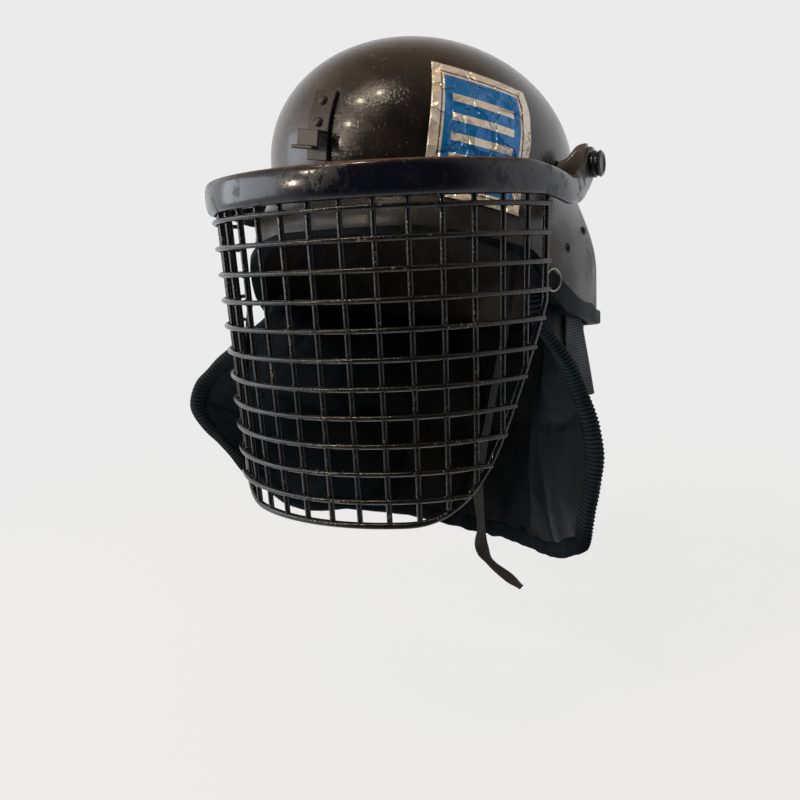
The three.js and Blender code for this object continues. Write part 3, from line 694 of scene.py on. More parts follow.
# %% [markdown]
# ## Rubber edging
# A rubber channel is pushed over the shell's lower edge, and is deeper at the ear corners. Its section is
# carried round the rim on the shell's own surface, and its edges are softened as moulded rubber is.

# %% The edging's section
TRIM_THICKNESS = 0.003
TRIM_DEPTH_INSIDE = 0.006
TRIM_AROUND = 288
TRIM_SOFTNESS = 0.0011


def trim_section(angle):
    outside = GAP + TRIM_THICKNESS
    inside = SHELL_WALL + GAP
    base = GAP + TRIM_THICKNESS
    depth = edging_depth(angle)
    return [
        (-GAP, depth),
        (-outside, depth),
        (-outside, -base),
        (inside + TRIM_THICKNESS, -base),
        (inside + TRIM_THICKNESS, TRIM_DEPTH_INSIDE),
        (inside, TRIM_DEPTH_INSIDE),
        (inside, -GAP),
        (-GAP, -GAP),
    ]


TRIM_CORNERS = len(trim_section(0.0))


def trim_place(around, corner):
    angle = math.tau * around
    inset, height = trim_section(angle)[round(corner * TRIM_CORNERS) % TRIM_CORNERS]
    return shell_point(angle, rim_height(angle) + height, inset)


print("edging has", TRIM_CORNERS, "corners in section")

# %% Rubber edging


def edge_rubber():
    paint = Paint("edge_rubber")
    chalk = paint.noise(70.0, 4.0).between(0.4, 0.75)
    grain = paint.noise(1500.0, 2.0)
    return paint.look({
        "Base Color": paint.mix(chalk, colour(0.004, 0.007, 0.009), colour(0.014, 0.019, 0.021)),
        "Roughness": 0.5 + 0.2 * chalk,
        "Normal": paint.bump(grain, 0.3, 0.0003),
        "Specular IOR Level": 0.06,
    })


bm = surface(TRIM_AROUND, TRIM_CORNERS, trim_place)
trim = keep(bm, "rim_rubber", "helmet", edge_rubber(), ["rim_trim"])
soften(trim, TRIM_SOFTNESS, 3)

# %% [markdown]
# ## Visor band
# A half-round steel band carries the visor round the brow, dips at the temples and ends in flat arms that
# rise to the pivots. It is one skin through half-round sections. Its navy enamel is glossy, with dull smears
# and a worn top edge, and is rubbed grey at the arms. The lugs are painted a light grey, as painted sheen.

# %% The band's sizes
VISOR_CENTRE = -0.057
BAND_INSIDE = 0.153
BAND_THICKNESS = 0.006
BAND_TOP = -0.007
BAND_BOTTOM = -0.032
BAND_FULLNESS = 0.5
BAND_FACE_STEPS = 18
BAND_ALONG = 160
BAND_SOFTNESS = 0.0010
BAND_SHARP_DEG = 50.0
PIVOT_HEIGHT = -0.004
BAND_TOP_DIP = {"depth": 0.010, "start_deg": 62.0, "end_deg": 97.0}
BAND_BOTTOM_DIP = {"depth": 0.006, "start_deg": 72.0, "end_deg": 92.0}
SIDE_TURN = math.pi / 2
ARM_RUB_BACK = (-0.04, -0.01)
TOP_EDGE_WEAR = 0.0035


def band_dip(angle, dip):
    return dip["depth"] * smoothstep(math.degrees(abs(angle)), dip["start_deg"], dip["end_deg"])


def band_edges(angle):
    return BAND_TOP - band_dip(angle, BAND_TOP_DIP), BAND_BOTTOM - band_dip(angle, BAND_BOTTOM_DIP)


SIDE_TOP, SIDE_BOTTOM = band_edges(SIDE_TURN)
ARM = [
    {"depth": VISOR_CENTRE, "top": SIDE_TOP, "bottom": SIDE_BOTTOM, "thickness": BAND_THICKNESS},
    {"depth": -0.040, "top": -0.015, "bottom": -0.037, "thickness": 0.006},
    {"depth": -0.025, "top": -0.008, "bottom": -0.034, "thickness": 0.005},
    {"depth": -0.012, "top": 0.001, "bottom": -0.028, "thickness": 0.004},
    {"depth": -0.003, "top": 0.008, "bottom": -0.023, "thickness": 0.004},
    {"depth": 0.006, "top": 0.011, "bottom": -0.016, "thickness": 0.004},
    {"depth": 0.013, "top": 0.008, "bottom": -0.009, "thickness": 0.004},
    {"depth": 0.017, "top": 0.002, "bottom": -0.003, "thickness": 0.004},
]
ARM_LENGTH = ARM[-1]["depth"] - VISOR_CENTRE
FRONT_LENGTH = math.pi * BAND_INSIDE
print("band is", round(FRONT_LENGTH + 2 * ARM_LENGTH, 3), "m long with its arms")

# %% The band's skin


def smooth_row(rows, share):
    """A row of the table, at a share of the way through it, on a smooth curve."""
    outline = [Vector((row["depth"], row["top"], row["bottom"])) for row in rows]
    depth, top, bottom = curve_point(outline, share)
    thickness = [Vector((row["thickness"], 0.0)) for row in rows]
    place = share * (len(rows) - 1)
    i = min(int(place), len(rows) - 2)
    return depth, top, bottom, thickness[i].lerp(thickness[i + 1], place - i).x


def band_station(along):
    """Inner point, outward direction, top, bottom and thickness at a share of the band's length."""
    from_middle = (along - 0.5) * (FRONT_LENGTH + 2 * ARM_LENGTH)
    sign = math.copysign(1.0, from_middle)
    past_front = abs(from_middle) - FRONT_LENGTH / 2
    if past_front <= 0:
        angle = from_middle / BAND_INSIDE
        outward = Vector((math.sin(angle), -math.cos(angle), 0.0))
        top, bottom = band_edges(angle)
        return outward * BAND_INSIDE + Vector((0, VISOR_CENTRE, 0)), outward, top, bottom, BAND_THICKNESS
    depth, top, bottom, thickness = smooth_row(ARM, past_front / ARM_LENGTH)
    return Vector((sign * BAND_INSIDE, depth, 0.0)), Vector((sign, 0.0, 0.0)), top, bottom, thickness


def band_place(along, around):
    inner, outward, top, bottom, thickness = band_station(along)
    step = round(around * (BAND_FACE_STEPS + 1)) % (BAND_FACE_STEPS + 1)
    slope = math.pi * (0.5 - step / BAND_FACE_STEPS)
    bulge = thickness * max(math.cos(slope), 0.0) ** BAND_FULLNESS
    height = (top + bottom) / 2 + (top - bottom) / 2 * math.sin(slope)
    return ORIGIN + inner + outward * bulge + Vector((0.0, 0.0, height))


print("band's arms are", 2 * BAND_INSIDE, "m apart inside")

# %% Enamelled band


def band_enamel():
    paint = Paint("band_enamel")
    height = paint.axis("Z")
    chip = paint.noise(240.0, 4.0, 0.65)
    top_edge = height.between(ORIGIN.z + BAND_TOP - TOP_EDGE_WEAR, ORIGIN.z + BAND_TOP)
    arms = paint.axis("Y").between(*ARM_RUB_BACK)
    worn = (chip + 0.55 * top_edge - arms).between(0.80, 0.92)
    cloud = paint.noise(30.0, 3.0)
    nick = paint.noise(300.0, 3.0, 0.6, paint.stretched((0.5, 0.5, 2.0))).between(0.70, 0.75)
    smear = paint.noise(75.0, 6.0, 0.72, paint.stretched((1.0, 1.0, 0.75))).between(0.50, 0.60)
    # painted sheen: the lugs between shell and arm are given a light grey
    lug_sheen = arms * paint.axis("X").distance_from(0.0).between(BAND_INSIDE, BAND_INSIDE - GAP)
    peel = paint.noise(160.0, 2.0)
    navy = paint.mix(cloud, colour(0.0012, 0.0015, 0.0060), colour(0.0026, 0.0030, 0.0110))
    grey = paint.mix(arms, navy, colour(0.016, 0.015, 0.018))
    lug_sheened = paint.mix(lug_sheen * (0.6 + 0.4 * cloud), grey, colour(0.13, 0.115, 0.108))
    bare = paint.mix(worn, lug_sheened, colour(0.10, 0.055, 0.032))
    return paint.look({
        "Base Color": paint.mix(nick * 0.6, bare, colour(0.16, 0.15, 0.15)),
        "Roughness": 0.16 + 0.08 * cloud + 0.35 * worn + 0.12 * arms + 0.22 * smear,
        "Normal": paint.bump(peel + 0.3 * smear - 0.8 * worn, 0.2, 0.0007),
        "Coat Weight": 0.35 * (1.0 - worn) * (1.0 - smear),
        "Coat Roughness": 0.12,
        "Specular IOR Level": 0.42,
    })


ENAMEL = band_enamel()
bm = surface(BAND_ALONG, BAND_FACE_STEPS + 1, band_place)
close_ends(bm)
band = keep(bm, "visor_band_enamel", "visor", ENAMEL, ["visor_band"])
soften(band, BAND_SOFTNESS, 3, BAND_SHARP_DEG)

# %% [markdown]
# ## Wire visor
# Level wires lie in front of upright ones and are welded at every crossing, inside a bent frame wire. Each
# wire is a round curve along the visor's wall. The black enamel is thick at the welds, where it fills the
# corners, and is rubbed to grey along the wires.

# %% The visor's wall and frame
VISOR_RADIUS = 0.149
VISOR_TAPER = 0.026 / 0.100
TOP_ROW = -0.038
ROW_PITCH = 0.0211
ROWS = 11
COLUMN_PITCH = 0.024
COLUMNS_EACH_SIDE = 8
SIDE_EDGE = (COLUMNS_EACH_SIDE + 0.5) * COLUMN_PITCH
UPRIGHT_RADIUS = 0.0022
ROW_RADIUS = 0.0020
FRAME_RADIUS = 0.0026
ROW_STAND = 0.0042
UPRIGHT_TOP = -0.014
ROW_SETBACK = 0.001
FRAME_SIDE_END = -0.110
FRAME_SLANT_END = Vector((0.156, -0.207))
FRAME_CORNER = Vector((0.125, -0.269))
FRAME_FLAT_END = 0.075
CORNER_STEPS = 14


def visor_point(along, height, stand=0.0):
    radius = VISOR_RADIUS * (1.0 + VISOR_TAPER * (height - TOP_ROW)) + stand
    angle = along / VISOR_RADIUS
    return ORIGIN + Vector((math.sin(angle) * radius, VISOR_CENTRE - math.cos(angle) * radius, height))


def frame_outline():
    """Half of the frame, from its top to its flat bottom, as distance round the wall and height."""
    points = [Vector((SIDE_EDGE, UPRIGHT_TOP)), Vector((SIDE_EDGE, FRAME_SIDE_END))]
    flat = Vector((FRAME_FLAT_END, FRAME_CORNER.y))
    for i in range(CORNER_STEPS + 1):
        share = i / CORNER_STEPS
        first = FRAME_SLANT_END.lerp(FRAME_CORNER, share)
        points.append(first.lerp(FRAME_CORNER.lerp(flat, share), share))
    return points


OUTLINE = frame_outline()


def frame_reach(height):
    for upper, lower in zip(OUTLINE, OUTLINE[1:]):
        if upper.y >= height > lower.y:
            return lerp(upper.x, lower.x, (upper.y - height) / (upper.y - lower.y))
    return 0.0


def frame_depth(along):
    for outer, inner in zip(OUTLINE, OUTLINE[1:]):
        if outer.x >= along > inner.x:
            return lerp(outer.y, inner.y, (outer.x - along) / (outer.x - inner.x))
    return FRAME_CORNER.y


print("visor reaches down to", FRAME_CORNER.y)

# %% Where the wires run
ROW_POINTS = 64
FRAME_STEPS = 6
FLAT_STEPS = 12
UPRIGHT_STEPS = 8


def frame_run():
    half = []
    for upper, lower in zip(OUTLINE, OUTLINE[1:]):
        half += [upper.lerp(lower, i / FRAME_STEPS) for i in range(FRAME_STEPS)]
    flat = [lerp(FRAME_FLAT_END, 0.0, i / FLAT_STEPS) for i in range(FLAT_STEPS + 1)]
    half += [Vector((along, FRAME_CORNER.y)) for along in flat]
    other = [Vector((-point.x, point.y)) for point in reversed(half[:-1])]
    return [visor_point(point.x, point.y) for point in half + other]


def row_run(height):
    reach = frame_reach(height) - ROW_SETBACK
    places = [lerp(-reach, reach, i / ROW_POINTS) for i in range(ROW_POINTS + 1)]
    return [visor_point(along, height, ROW_STAND) for along in places]


def row_heights():
    return [TOP_ROW - row * ROW_PITCH for row in range(ROWS)]


def upright_places():
    return [(column + 0.5) * COLUMN_PITCH for column in range(-COLUMNS_EACH_SIDE, COLUMNS_EACH_SIDE)]


def grille_runs():
    runs = [(frame_run(), FRAME_RADIUS)]
    runs += [(row_run(height), ROW_RADIUS) for height in row_heights()]
    for along in upright_places():
        ends = [visor_point(along, UPRIGHT_TOP), visor_point(along, frame_depth(abs(along)))]
        steps = [i / UPRIGHT_STEPS for i in range(UPRIGHT_STEPS + 1)]
        runs.append(([ends[0].lerp(ends[1], step) for step in steps], UPRIGHT_RADIUS))
    return runs


print("visor has", ROWS, "rows and", len(upright_places()), "uprights")

# %% Round wires and welds
WELD_SIZE = 0.0027


def wires(runs):
    """One mesh of round wires from pairs of points and radius."""
    curve = bpy.data.curves.new("wires", "CURVE")
    curve.dimensions = "3D"
    curve.bevel_depth = 1.0
    curve.bevel_resolution = 3
    curve.use_fill_caps = True
    for points, radius in runs:
        spline = curve.splines.new("POLY")
        spline.points.add(len(points) - 1)
        for target, point in zip(spline.points, points):
            target.co = (*point, 1.0)
            target.radius = radius
    holder = bpy.data.objects.new("wires", curve)
    bpy.context.scene.collection.objects.link(holder)
    bm = bmesh.new()
    bm.from_mesh(holder.to_mesh())
    holder.to_mesh_clear()
    bpy.data.objects.remove(holder)
    return bm


def add_welds(bm):
    count = 0
    for height in row_heights():
        for along in upright_places():
            if height > frame_depth(abs(along)):
                spot = Matrix.Translation(visor_point(along, height, ROW_STAND / 2))
                bmesh.ops.create_icosphere(bm, subdivisions=2, radius=WELD_SIZE, matrix=spot)
                count += 1
    return count


print("welds are", 2 * WELD_SIZE, "m across")

# %% Enamelled wires


def wire_enamel():
    paint = Paint("wire_enamel")
    cloud = paint.noise(38.0, 4.0, 0.6)
    rub = paint.noise(330.0, 4.0, 0.7)
    worn = (rub + 0.5 * cloud).between(0.89, 0.95)
    rust = paint.noise(150.0, 5.0, 0.7).between(0.60, 0.70)
    lump = paint.noise(520.0, 2.0)
    black = paint.mix(cloud, colour(0.0025, 0.0025, 0.0030), colour(0.007, 0.007, 0.007))
    grey = paint.mix(worn * 0.8, black, colour(0.190, 0.180, 0.145))
    return paint.look({
        "Base Color": paint.mix(rust * 0.4, grey, colour(0.045, 0.026, 0.015)),
        "Roughness": 0.16 + 0.30 * worn + 0.2 * rust,
        "Metallic": 0.3 * worn,
        "Normal": paint.bump(lump - 0.5 * worn, 0.5, 0.0006),
    })


bm = wires(grille_runs())
weld_count = add_welds(bm)
keep(bm, "visor_wires", "visor", wire_enamel(), ["visor_grille"])
print("visor has", weld_count, "welds")

# %% [markdown]
# ## Pivots
# At each side a lug under the same enamel as the band stands out from the shell and widens to the arm, and a
# plastic knob clamps the arm on its pin. The lug is a skin through oval sections. The knob is spun from half
# of its section, with a shallow neck and a rounded rim, and its outer edge is painted pale, partly as wear
# and partly as a painted highlight.

# %% Lugs
PIVOT_SOFTNESS = 0.0005
PIVOT_SHARP_DEG = 30.0
PIVOT_STEPS = 40
LUG_RINGS = 24
LUG = [
    {"share": 0.0, "middle": (-0.008, -0.004), "half": (0.013, 0.008)},
    {"share": 0.3, "middle": (-0.007, -0.002), "half": (0.009, 0.009)},
    {"share": 0.6, "middle": (-0.004, 0.001), "half": (0.008, 0.014)},
    {"share": 0.85, "middle": (-0.002, 0.001), "half": (0.008, 0.016)},
    {"share": 1.0, "middle": (-0.001, 0.001), "half": (0.008, 0.016)},
]
SIDES = {"left": 1.0, "right": -1.0}


def lug_place(share, around):
    rows = [Vector((row["share"], *row["middle"], *row["half"])) for row in LUG]
    out, depth, height, half_depth, half_height = curve_point(rows, share)
    angle = math.tau * around
    side = lerp(DOME_HALF_WIDTH + GAP, BAND_INSIDE - GAP, out)
    return Vector((side, depth + half_depth * math.cos(angle), height + half_height * math.sin(angle)))


def lug_mesh():
    bm = surface(LUG_RINGS, PIVOT_STEPS, lug_place)
    close_ends(bm)
    return bm


def pivot_piece(bm, name, sign, material, node):
    bmesh.ops.scale(bm, vec=(sign, 1.0, 1.0), verts=bm.verts)
    bmesh.ops.translate(bm, vec=ORIGIN + Vector((0.0, 0.0, PIVOT_HEIGHT)), verts=bm.verts)
    piece = keep(bm, name, "helmet", material, [node])
    soften(piece, PIVOT_SOFTNESS, 2, PIVOT_SHARP_DEG)


for side, sign in SIDES.items():
    node = f"pivot_boss_{side}"
    pivot_piece(lug_mesh(), f"{node}_lug", sign, ENAMEL, node)

# %% Knobs
PIN_RADIUS = 0.004
KNOB_RADIUS = 0.011
KNOB_NECK_RADIUS = 0.0098
KNOB_WASHER = 0.002
KNOB_LENGTH = 0.008
KNOB_CHAMFER = 0.002
KNOB_DISH = 0.0012
KNOB_SLOPE = 0.001
KNOB_NECK = 0.002
KNOB_RIM_OUT = (0.1640, 0.1652)
ARM_OUTSIDE = BAND_INSIDE + ARM[-1]["thickness"]


def knob_profile():
    face = ARM_OUTSIDE + GAP
    end = face + KNOB_LENGTH
    neck = face + KNOB_WASHER + KNOB_SLOPE
    neck_end = neck + KNOB_NECK
    inner = KNOB_RADIUS - KNOB_CHAMFER
    return [
        (BAND_INSIDE, 0.0),
        (BAND_INSIDE, PIN_RADIUS),
        (face, PIN_RADIUS),
        (face, KNOB_RADIUS),
        (face + KNOB_WASHER, KNOB_RADIUS),
        (neck, KNOB_NECK_RADIUS),
        (neck_end, KNOB_NECK_RADIUS),
        (neck_end + KNOB_SLOPE, KNOB_RADIUS),
        (end - KNOB_CHAMFER, KNOB_RADIUS),
        (end, inner),
        (end, inner - KNOB_DISH),
        (end - KNOB_DISH, inner - 2 * KNOB_DISH),
        (end - KNOB_DISH, 0.0),
    ]


def knob_plastic():
    paint = Paint("knob_plastic")
    rim = paint.axis("X").distance_from(0.0).between(*KNOB_RIM_OUT)
    local = paint.node("ShaderNodeVectorMath", {"operation": "SUBTRACT"}, {0: paint.place, 1: ORIGIN})
    rub = paint.noise(300.0, 3.0, place=local)
    # pale outer edge: partly worn plastic, partly a painted highlight
    pale = rim * (0.05 + 0.4 * rub)
    return paint.look({
        "Base Color": paint.mix(pale, colour(0.008, 0.008, 0.009), colour(0.30, 0.29, 0.28)),
        "Roughness": 0.18 + 0.2 * rub,
        "Normal": paint.bump(rub, 0.2, 0.0002),
        "Specular IOR Level": 0.35,
    })


KNOB = knob_plastic()
for side, sign in SIDES.items():
    node = f"pivot_knob_{side}"
    pivot_piece(turned(knob_profile(), PIVOT_STEPS), f"{node}_turned", sign, KNOB, node)

# %% [markdown]
# ## Catch and rivets
# A steel strip is riveted to the brow, and carries a hook that stands out, turns down and ends in a small
# lip. Its side view is drawn first, then drawn out across the brow, tilted as it sits and softened.

# %% Dark steel


def dark_steel():
    paint = Paint("dark_steel")
    cloud = paint.noise(120.0, 4.0)
    worn = paint.noise(520.0, 4.0, 0.7).between(0.58, 0.72)
    dark = paint.mix(cloud, colour(0.012, 0.010, 0.009), colour(0.034, 0.027, 0.022))
    return paint.look({
        "Base Color": paint.mix(worn * 0.5, dark, colour(0.15, 0.12, 0.09)),
        "Roughness": 0.26 + 0.2 * cloud + 0.2 * worn,
        "Metallic": 0.15 + 0.5 * worn,
        "Normal": paint.bump(paint.noise(700.0, 2.0) + 1.5 * cloud, 0.5, 0.0005),
    })


STEEL = dark_steel()
print("finish made:", STEEL.name)

# %% Catch
CATCH_WIDTH = 0.019
CATCH_THICKNESS = 0.0025
CATCH_TOP = 0.055
CATCH_BEND = 0.022
CATCH_MIDDLE = (CATCH_TOP + CATCH_BEND) / 2
CATCH_FOOT = 0.003
CATCH_REACH = 0.015
CATCH_DROP = 0.012
CATCH_LIP = 0.007
CATCH_STAND = 0.0012
CATCH_OFFSET = -0.0095
CATCH_TILT = math.radians(9.0)
CATCH_STEPS = 10
CATCH_SOFTNESS = 0.0008
CATCH_SHARP_DEG = 30.0


def on_brow(height, stand):
    return Vector(((shell_point(0.0, height, -stand) - ORIGIN).y, height))


def catch_outline():
    """The catch from the side, as depth and height: its back, its hook with the lip and its face."""
    face = CATCH_STAND + CATCH_THICKNESS
    outer = on_brow(CATCH_BEND, CATCH_STAND).x - CATCH_REACH
    inner = outer + CATCH_THICKNESS
    tip = outer - CATCH_LIP
    low = CATCH_BEND - CATCH_DROP
    low_face = low + CATCH_THICKNESS
    high = CATCH_BEND + CATCH_THICKNESS
    steps = [i / CATCH_STEPS for i in range(CATCH_STEPS + 1)]
    back = [on_brow(lerp(CATCH_TOP, CATCH_FOOT, step), CATCH_STAND) for step in steps]
    hook = [on_brow(CATCH_FOOT, face), on_brow(CATCH_BEND, face)]
    hook += [Vector(corner) for corner in ((inner, CATCH_BEND), (inner, low), (tip, low), (tip, low_face))]
    hook += [Vector((outer, low_face)), Vector((outer, high))]
    return back + hook + [on_brow(lerp(high, CATCH_TOP, step), face) for step in steps]


def catch_mesh():
    bm = bmesh.new()
    corners = [(-CATCH_WIDTH / 2, depth, height - CATCH_MIDDLE) for depth, height in catch_outline()]
    side = bm.faces.new([bm.verts.new(corner) for corner in corners])
    drawn = bmesh.ops.extrude_face_region(bm, geom=[side])["geom"]
    moved = [item for item in drawn if isinstance(item, bmesh.types.BMVert)]
    bmesh.ops.translate(bm, vec=(CATCH_WIDTH, 0.0, 0.0), verts=moved)
    seat = Matrix.Translation(ORIGIN + Vector((CATCH_OFFSET, 0.0, CATCH_MIDDLE)))
    bm.transform(seat @ Matrix.Rotation(CATCH_TILT, 4, "Y"))
    return bm


catch = keep(catch_mesh(), "catch_strip", "helmet", STEEL, ["catch"])
soften(catch, CATCH_SOFTNESS, 3, CATCH_SHARP_DEG)

# %% Rivets
CATCH_RIVETS = {"upper": 0.047, "lower": 0.031}
CATCH_RIVET_RADIUS = 0.0038
SKIRT_RIVETS = {"front": (83.0, -0.071), "rear": (93.0, -0.057)}
SKIRT_RIVET_RADIUS = 0.0038
RIVET_RISE = 0.7
RIVET_STEPS = 24
RIVET_ARC_STEPS = 8


def rivet_profile(radius):
    rise = RIVET_RISE * radius
    arc = [i / RIVET_ARC_STEPS * math.pi / 2 for i in range(RIVET_ARC_STEPS + 1)]
    return [(0.0, 0.0)] + [(rise * math.sin(turn), radius * math.cos(turn)) for turn in arc]


def rivet(name, radius, point, outward, node):
    bm = turned(rivet_profile(radius), RIVET_STEPS)
    turn = Vector((1.0, 0.0, 0.0)).rotation_difference(outward).to_matrix().to_4x4()
    bm.transform(Matrix.Translation(point) @ turn)
    keep(bm, name, "helmet", STEEL, [node])


for name, height in CATCH_RIVETS.items():
    seat = shell_point(0.0, height, -CATCH_STAND - CATCH_THICKNESS)
    seat.x = CATCH_OFFSET + (height - CATCH_MIDDLE) * math.tan(CATCH_TILT)
    node = f"catch_rivet_{name}"
    rivet(f"{node}_head", CATCH_RIVET_RADIUS, seat, shell_normal(0.0, height), node)
for side, sign in SIDES.items():
    for name, (degrees, height) in SKIRT_RIVETS.items():
        angle = sign * math.radians(degrees)
        node = f"skirt_rivet_{name}_{side}"
        seat = shell_point(angle, height)
        rivet(f"{node}_head", SKIRT_RIVET_RADIUS, seat, shell_normal(angle, height), node)

# %% [markdown]
# ## Foil label
# A large label of metal foil is stuck to the left of the crown, and has wrinkled on the double curve. It is a
# thin grid on the shell between four corners. It carries a plain generic design of level bars on blue.

# %% The label's place
LABEL_TOP = [(38.0, 0.072), (74.0, 0.051)]
LABEL_BOTTOM = [(27.0, -0.028), (60.0, -0.046)]
LABEL_STAND = 0.0008
LABEL_THICKNESS = 0.0004
LABEL_GRID = 72
LABEL_WRINKLE = 0.0007
RIPPLE_ACROSS = Vector((5.0, -4.0, 0.0))
RIPPLE_UP = Vector((3.0, 9.0, 0.0))
RIPPLE_START = Vector((0.0, 0.0, 2.0))


def label_place(across, up):
    top = Vector(LABEL_TOP[0]).lerp(Vector(LABEL_TOP[1]), across)
    bottom = Vector(LABEL_BOTTOM[0]).lerp(Vector(LABEL_BOTTOM[1]), across)
    degrees, height = bottom.lerp(top, up)
    ripple = noise.noise(RIPPLE_ACROSS * across + RIPPLE_UP * up + RIPPLE_START)
    stand = LABEL_STAND + LABEL_THICKNESS / 2 + LABEL_WRINKLE * max(ripple, 0.0)
    return shell_point(math.radians(degrees), height, -stand)


print("label is", LABEL_THICKNESS, "m thick")

# %% Foil label
BAR_TURNS = 44.0
BARS_HALF = (0.30, 0.34)
FIELD_HALF = (0.375, 0.41)
LINE_HALF = (0.395, 0.427)
MARGIN_HALF = (0.41, 0.44)
PRINT_EDGE = 0.005


def beyond(across, up, half):
    """1 outside a box on the label, half its width and height from the middle."""
    sideways = across.distance_from(0.5).between(half[0], half[0] + PRINT_EDGE)
    return sideways.largest(up.distance_from(0.5).between(half[1], half[1] + PRINT_EDGE))


def foil():
    paint = Paint("foil")
    across, up = paint.flat("X"), paint.flat("Y")
    line = beyond(across, up, LINE_HALF) - beyond(across, up, MARGIN_HALF)
    bars = (up * BAR_TURNS).sine().between(0.30, 0.36) * (1.0 - beyond(across, up, BARS_HALF))
    silver_share = beyond(across, up, FIELD_HALF).largest(bars)
    rub = paint.noise(55.0, 5.0, 0.65)
    fold = paint.noise(38.0, 2.0, 0.5).distance_from(0.5).between(0.0, 0.05)
    facet = paint.node("ShaderNodeTexVoronoi", None, {"Vector": paint.place, "Scale": 62.0}, "Distance")
    crumple = fold * 0.6 + facet * 1.6 + paint.noise(150.0, 3.0) * 0.6
    blue = paint.mix(rub, colour(0.004, 0.150, 0.480), colour(0.014, 0.250, 0.640))
    silver = paint.mix(rub, colour(0.86, 0.72, 0.56), colour(1.0, 0.94, 0.82))
    lined = paint.mix(line * 0.85, silver, colour(0.015, 0.015, 0.020))
    return paint.look({
        "Base Color": paint.mix(silver_share, blue, lined),
        "Metallic": 0.25 + 0.1 * silver_share,
        "Roughness": 0.14 + 0.2 * rub,
        "Normal": paint.bump(crumple, 1.0, 0.0036),
    })


bm = surface(LABEL_GRID, LABEL_GRID, label_place)
label = keep(bm, "label_foil", "helmet", foil(), ["label"])
thicken(label, LABEL_THICKNESS, 0.0)

# %% [markdown]
# ## Neck curtain
# A padded cloth curtain hangs from inside the rim and falls to the shoulders, open at the front. Its middle
# surface runs through ribs that hang from the rim. It starts as a closed pad, drawn in at its seams, and is
# then swollen a little as cloth with air in it, held at its edges and at its seams.

# %% The curtain's surface
CURTAIN_THICKNESS = 0.009
CURTAIN_INSET = 0.017
CURTAIN_TUCK = 0.004
CURTAIN_HANG = 0.014
CURTAIN = [
    {"degrees": 72, "below": [(0.146, -0.042, -0.166), (0.166, -0.040, -0.238), (0.156, -0.040, -0.314)]},
    {"degrees": 100, "below": [(0.100, 0.016, -0.230), (0.114, 0.016, -0.344)]},
    {"degrees": 125, "below": [(0.086, 0.088, -0.250), (0.072, 0.064, -0.356)]},
    {"degrees": 150, "below": [(0.052, 0.136, -0.262), (0.032, 0.098, -0.363)]},
    {"degrees": 180, "below": [(0.000, 0.158, -0.272), (-0.022, 0.118, -0.366)]},
    {"degrees": 210, "below": [(-0.075, 0.142, -0.262), (-0.092, 0.118, -0.360)]},
    {"degrees": 235, "below": [(-0.135, 0.100, -0.245), (-0.148, 0.088, -0.350)]},
    {"degrees": 260, "below": [(-0.178, 0.030, -0.225), (-0.180, 0.025, -0.334)]},
    {"degrees": 288, "below": [(-0.212, -0.088, -0.203), (-0.172, -0.080, -0.266)]},
]
RIB_LEVELS = 80
CURTAIN_STEP = 0.01


def curtain_rib(row):
    angle = math.radians(row["degrees"])
    edge = rim_height(angle)
    hang = [shell_point(angle, edge + drop, CURTAIN_INSET) for drop in (CURTAIN_TUCK, -CURTAIN_HANG)]
    below = [ORIGIN + Vector(point) for point in row["below"]]
    return paced(hang + below, RIB_LEVELS)


RIBS = [curtain_rib(row) for row in CURTAIN]


def curtain_point(share, drop):
    place = min(max(drop, 0.0), 1.0) * RIB_LEVELS
    level = min(int(place), RIB_LEVELS - 1)
    stations = [rib[level].lerp(rib[level + 1], place - level) for rib in RIBS]
    return curve_point(stations, min(max(share, 0.0), 1.0))


def curtain_directions(share, drop):
    around = curtain_point(share + CURTAIN_STEP, drop) - curtain_point(share - CURTAIN_STEP, drop)
    down = curtain_point(share, drop + CURTAIN_STEP) - curtain_point(share, drop - CURTAIN_STEP)
    return around.normalized(), down.normalized()


def curtain_normal(share, drop):
    around, down = curtain_directions(share, drop)
    return down.cross(around).normalized()


print("curtain hangs from", len(RIBS), "ribs")

# %% [markdown]
# The pad's cloth is thin dark nylon. One seam crosses the curtain half way down and others run down it, and
# the lining swells between them. The right flap is gathered where its binding is sewn on, and its cloth is
# painted paler there, as painted light from the window.

# %% Seams, swells and gathers
SEAM_SHARES = (0.108, 0.24, 0.38, 0.52, 0.66, 0.80, 0.93)
SEAM_TOP = 0.1
SEAM_DROP = 0.5
SEAM_WAVE = 0.02
SEAM_WAVE_TURNS = 40.0
SEAM_HALF_WIDTH = 0.010
LEVEL_SEAM_HALF_WIDTH = 0.022
EDGE_HOLD = 0.02
HEM_SCALE = 0.4
CREASE_DEPTH = 0.0036
PUFF_DEPTH = 0.0055
PUFF_REACH = 0.045
PUFF_REACH_DOWN = 4 * PUFF_REACH
PUCKER_DEPTH = 0.0012
PUCKER_TURNS = 85.0
PUCKER_REACH = 0.05
PUCKER_END = 0.1


def seam_distance(share):
    return min(abs(share - seam) for seam in SEAM_SHARES)


def seam_share(share, drop):
    """1 on a seam, falling to 0 beside it."""
    upright = 1.0 - smoothstep(seam_distance(share), 0.0, SEAM_HALF_WIDTH)
    line = SEAM_DROP + SEAM_WAVE * math.sin(share * SEAM_WAVE_TURNS)
    level = 1.0 - smoothstep(abs(drop - line), 0.0, LEVEL_SEAM_HALF_WIDTH)
    return max(upright if drop > SEAM_TOP else 0.0, level)


def edge_share(share, drop):
    """1 on the pad's edges, falling to 0 inside them."""
    beside = min(share, 1.0 - share, (1.0 - drop) * HEM_SCALE)
    return 1.0 - smoothstep(beside, 0.0, EDGE_HOLD)


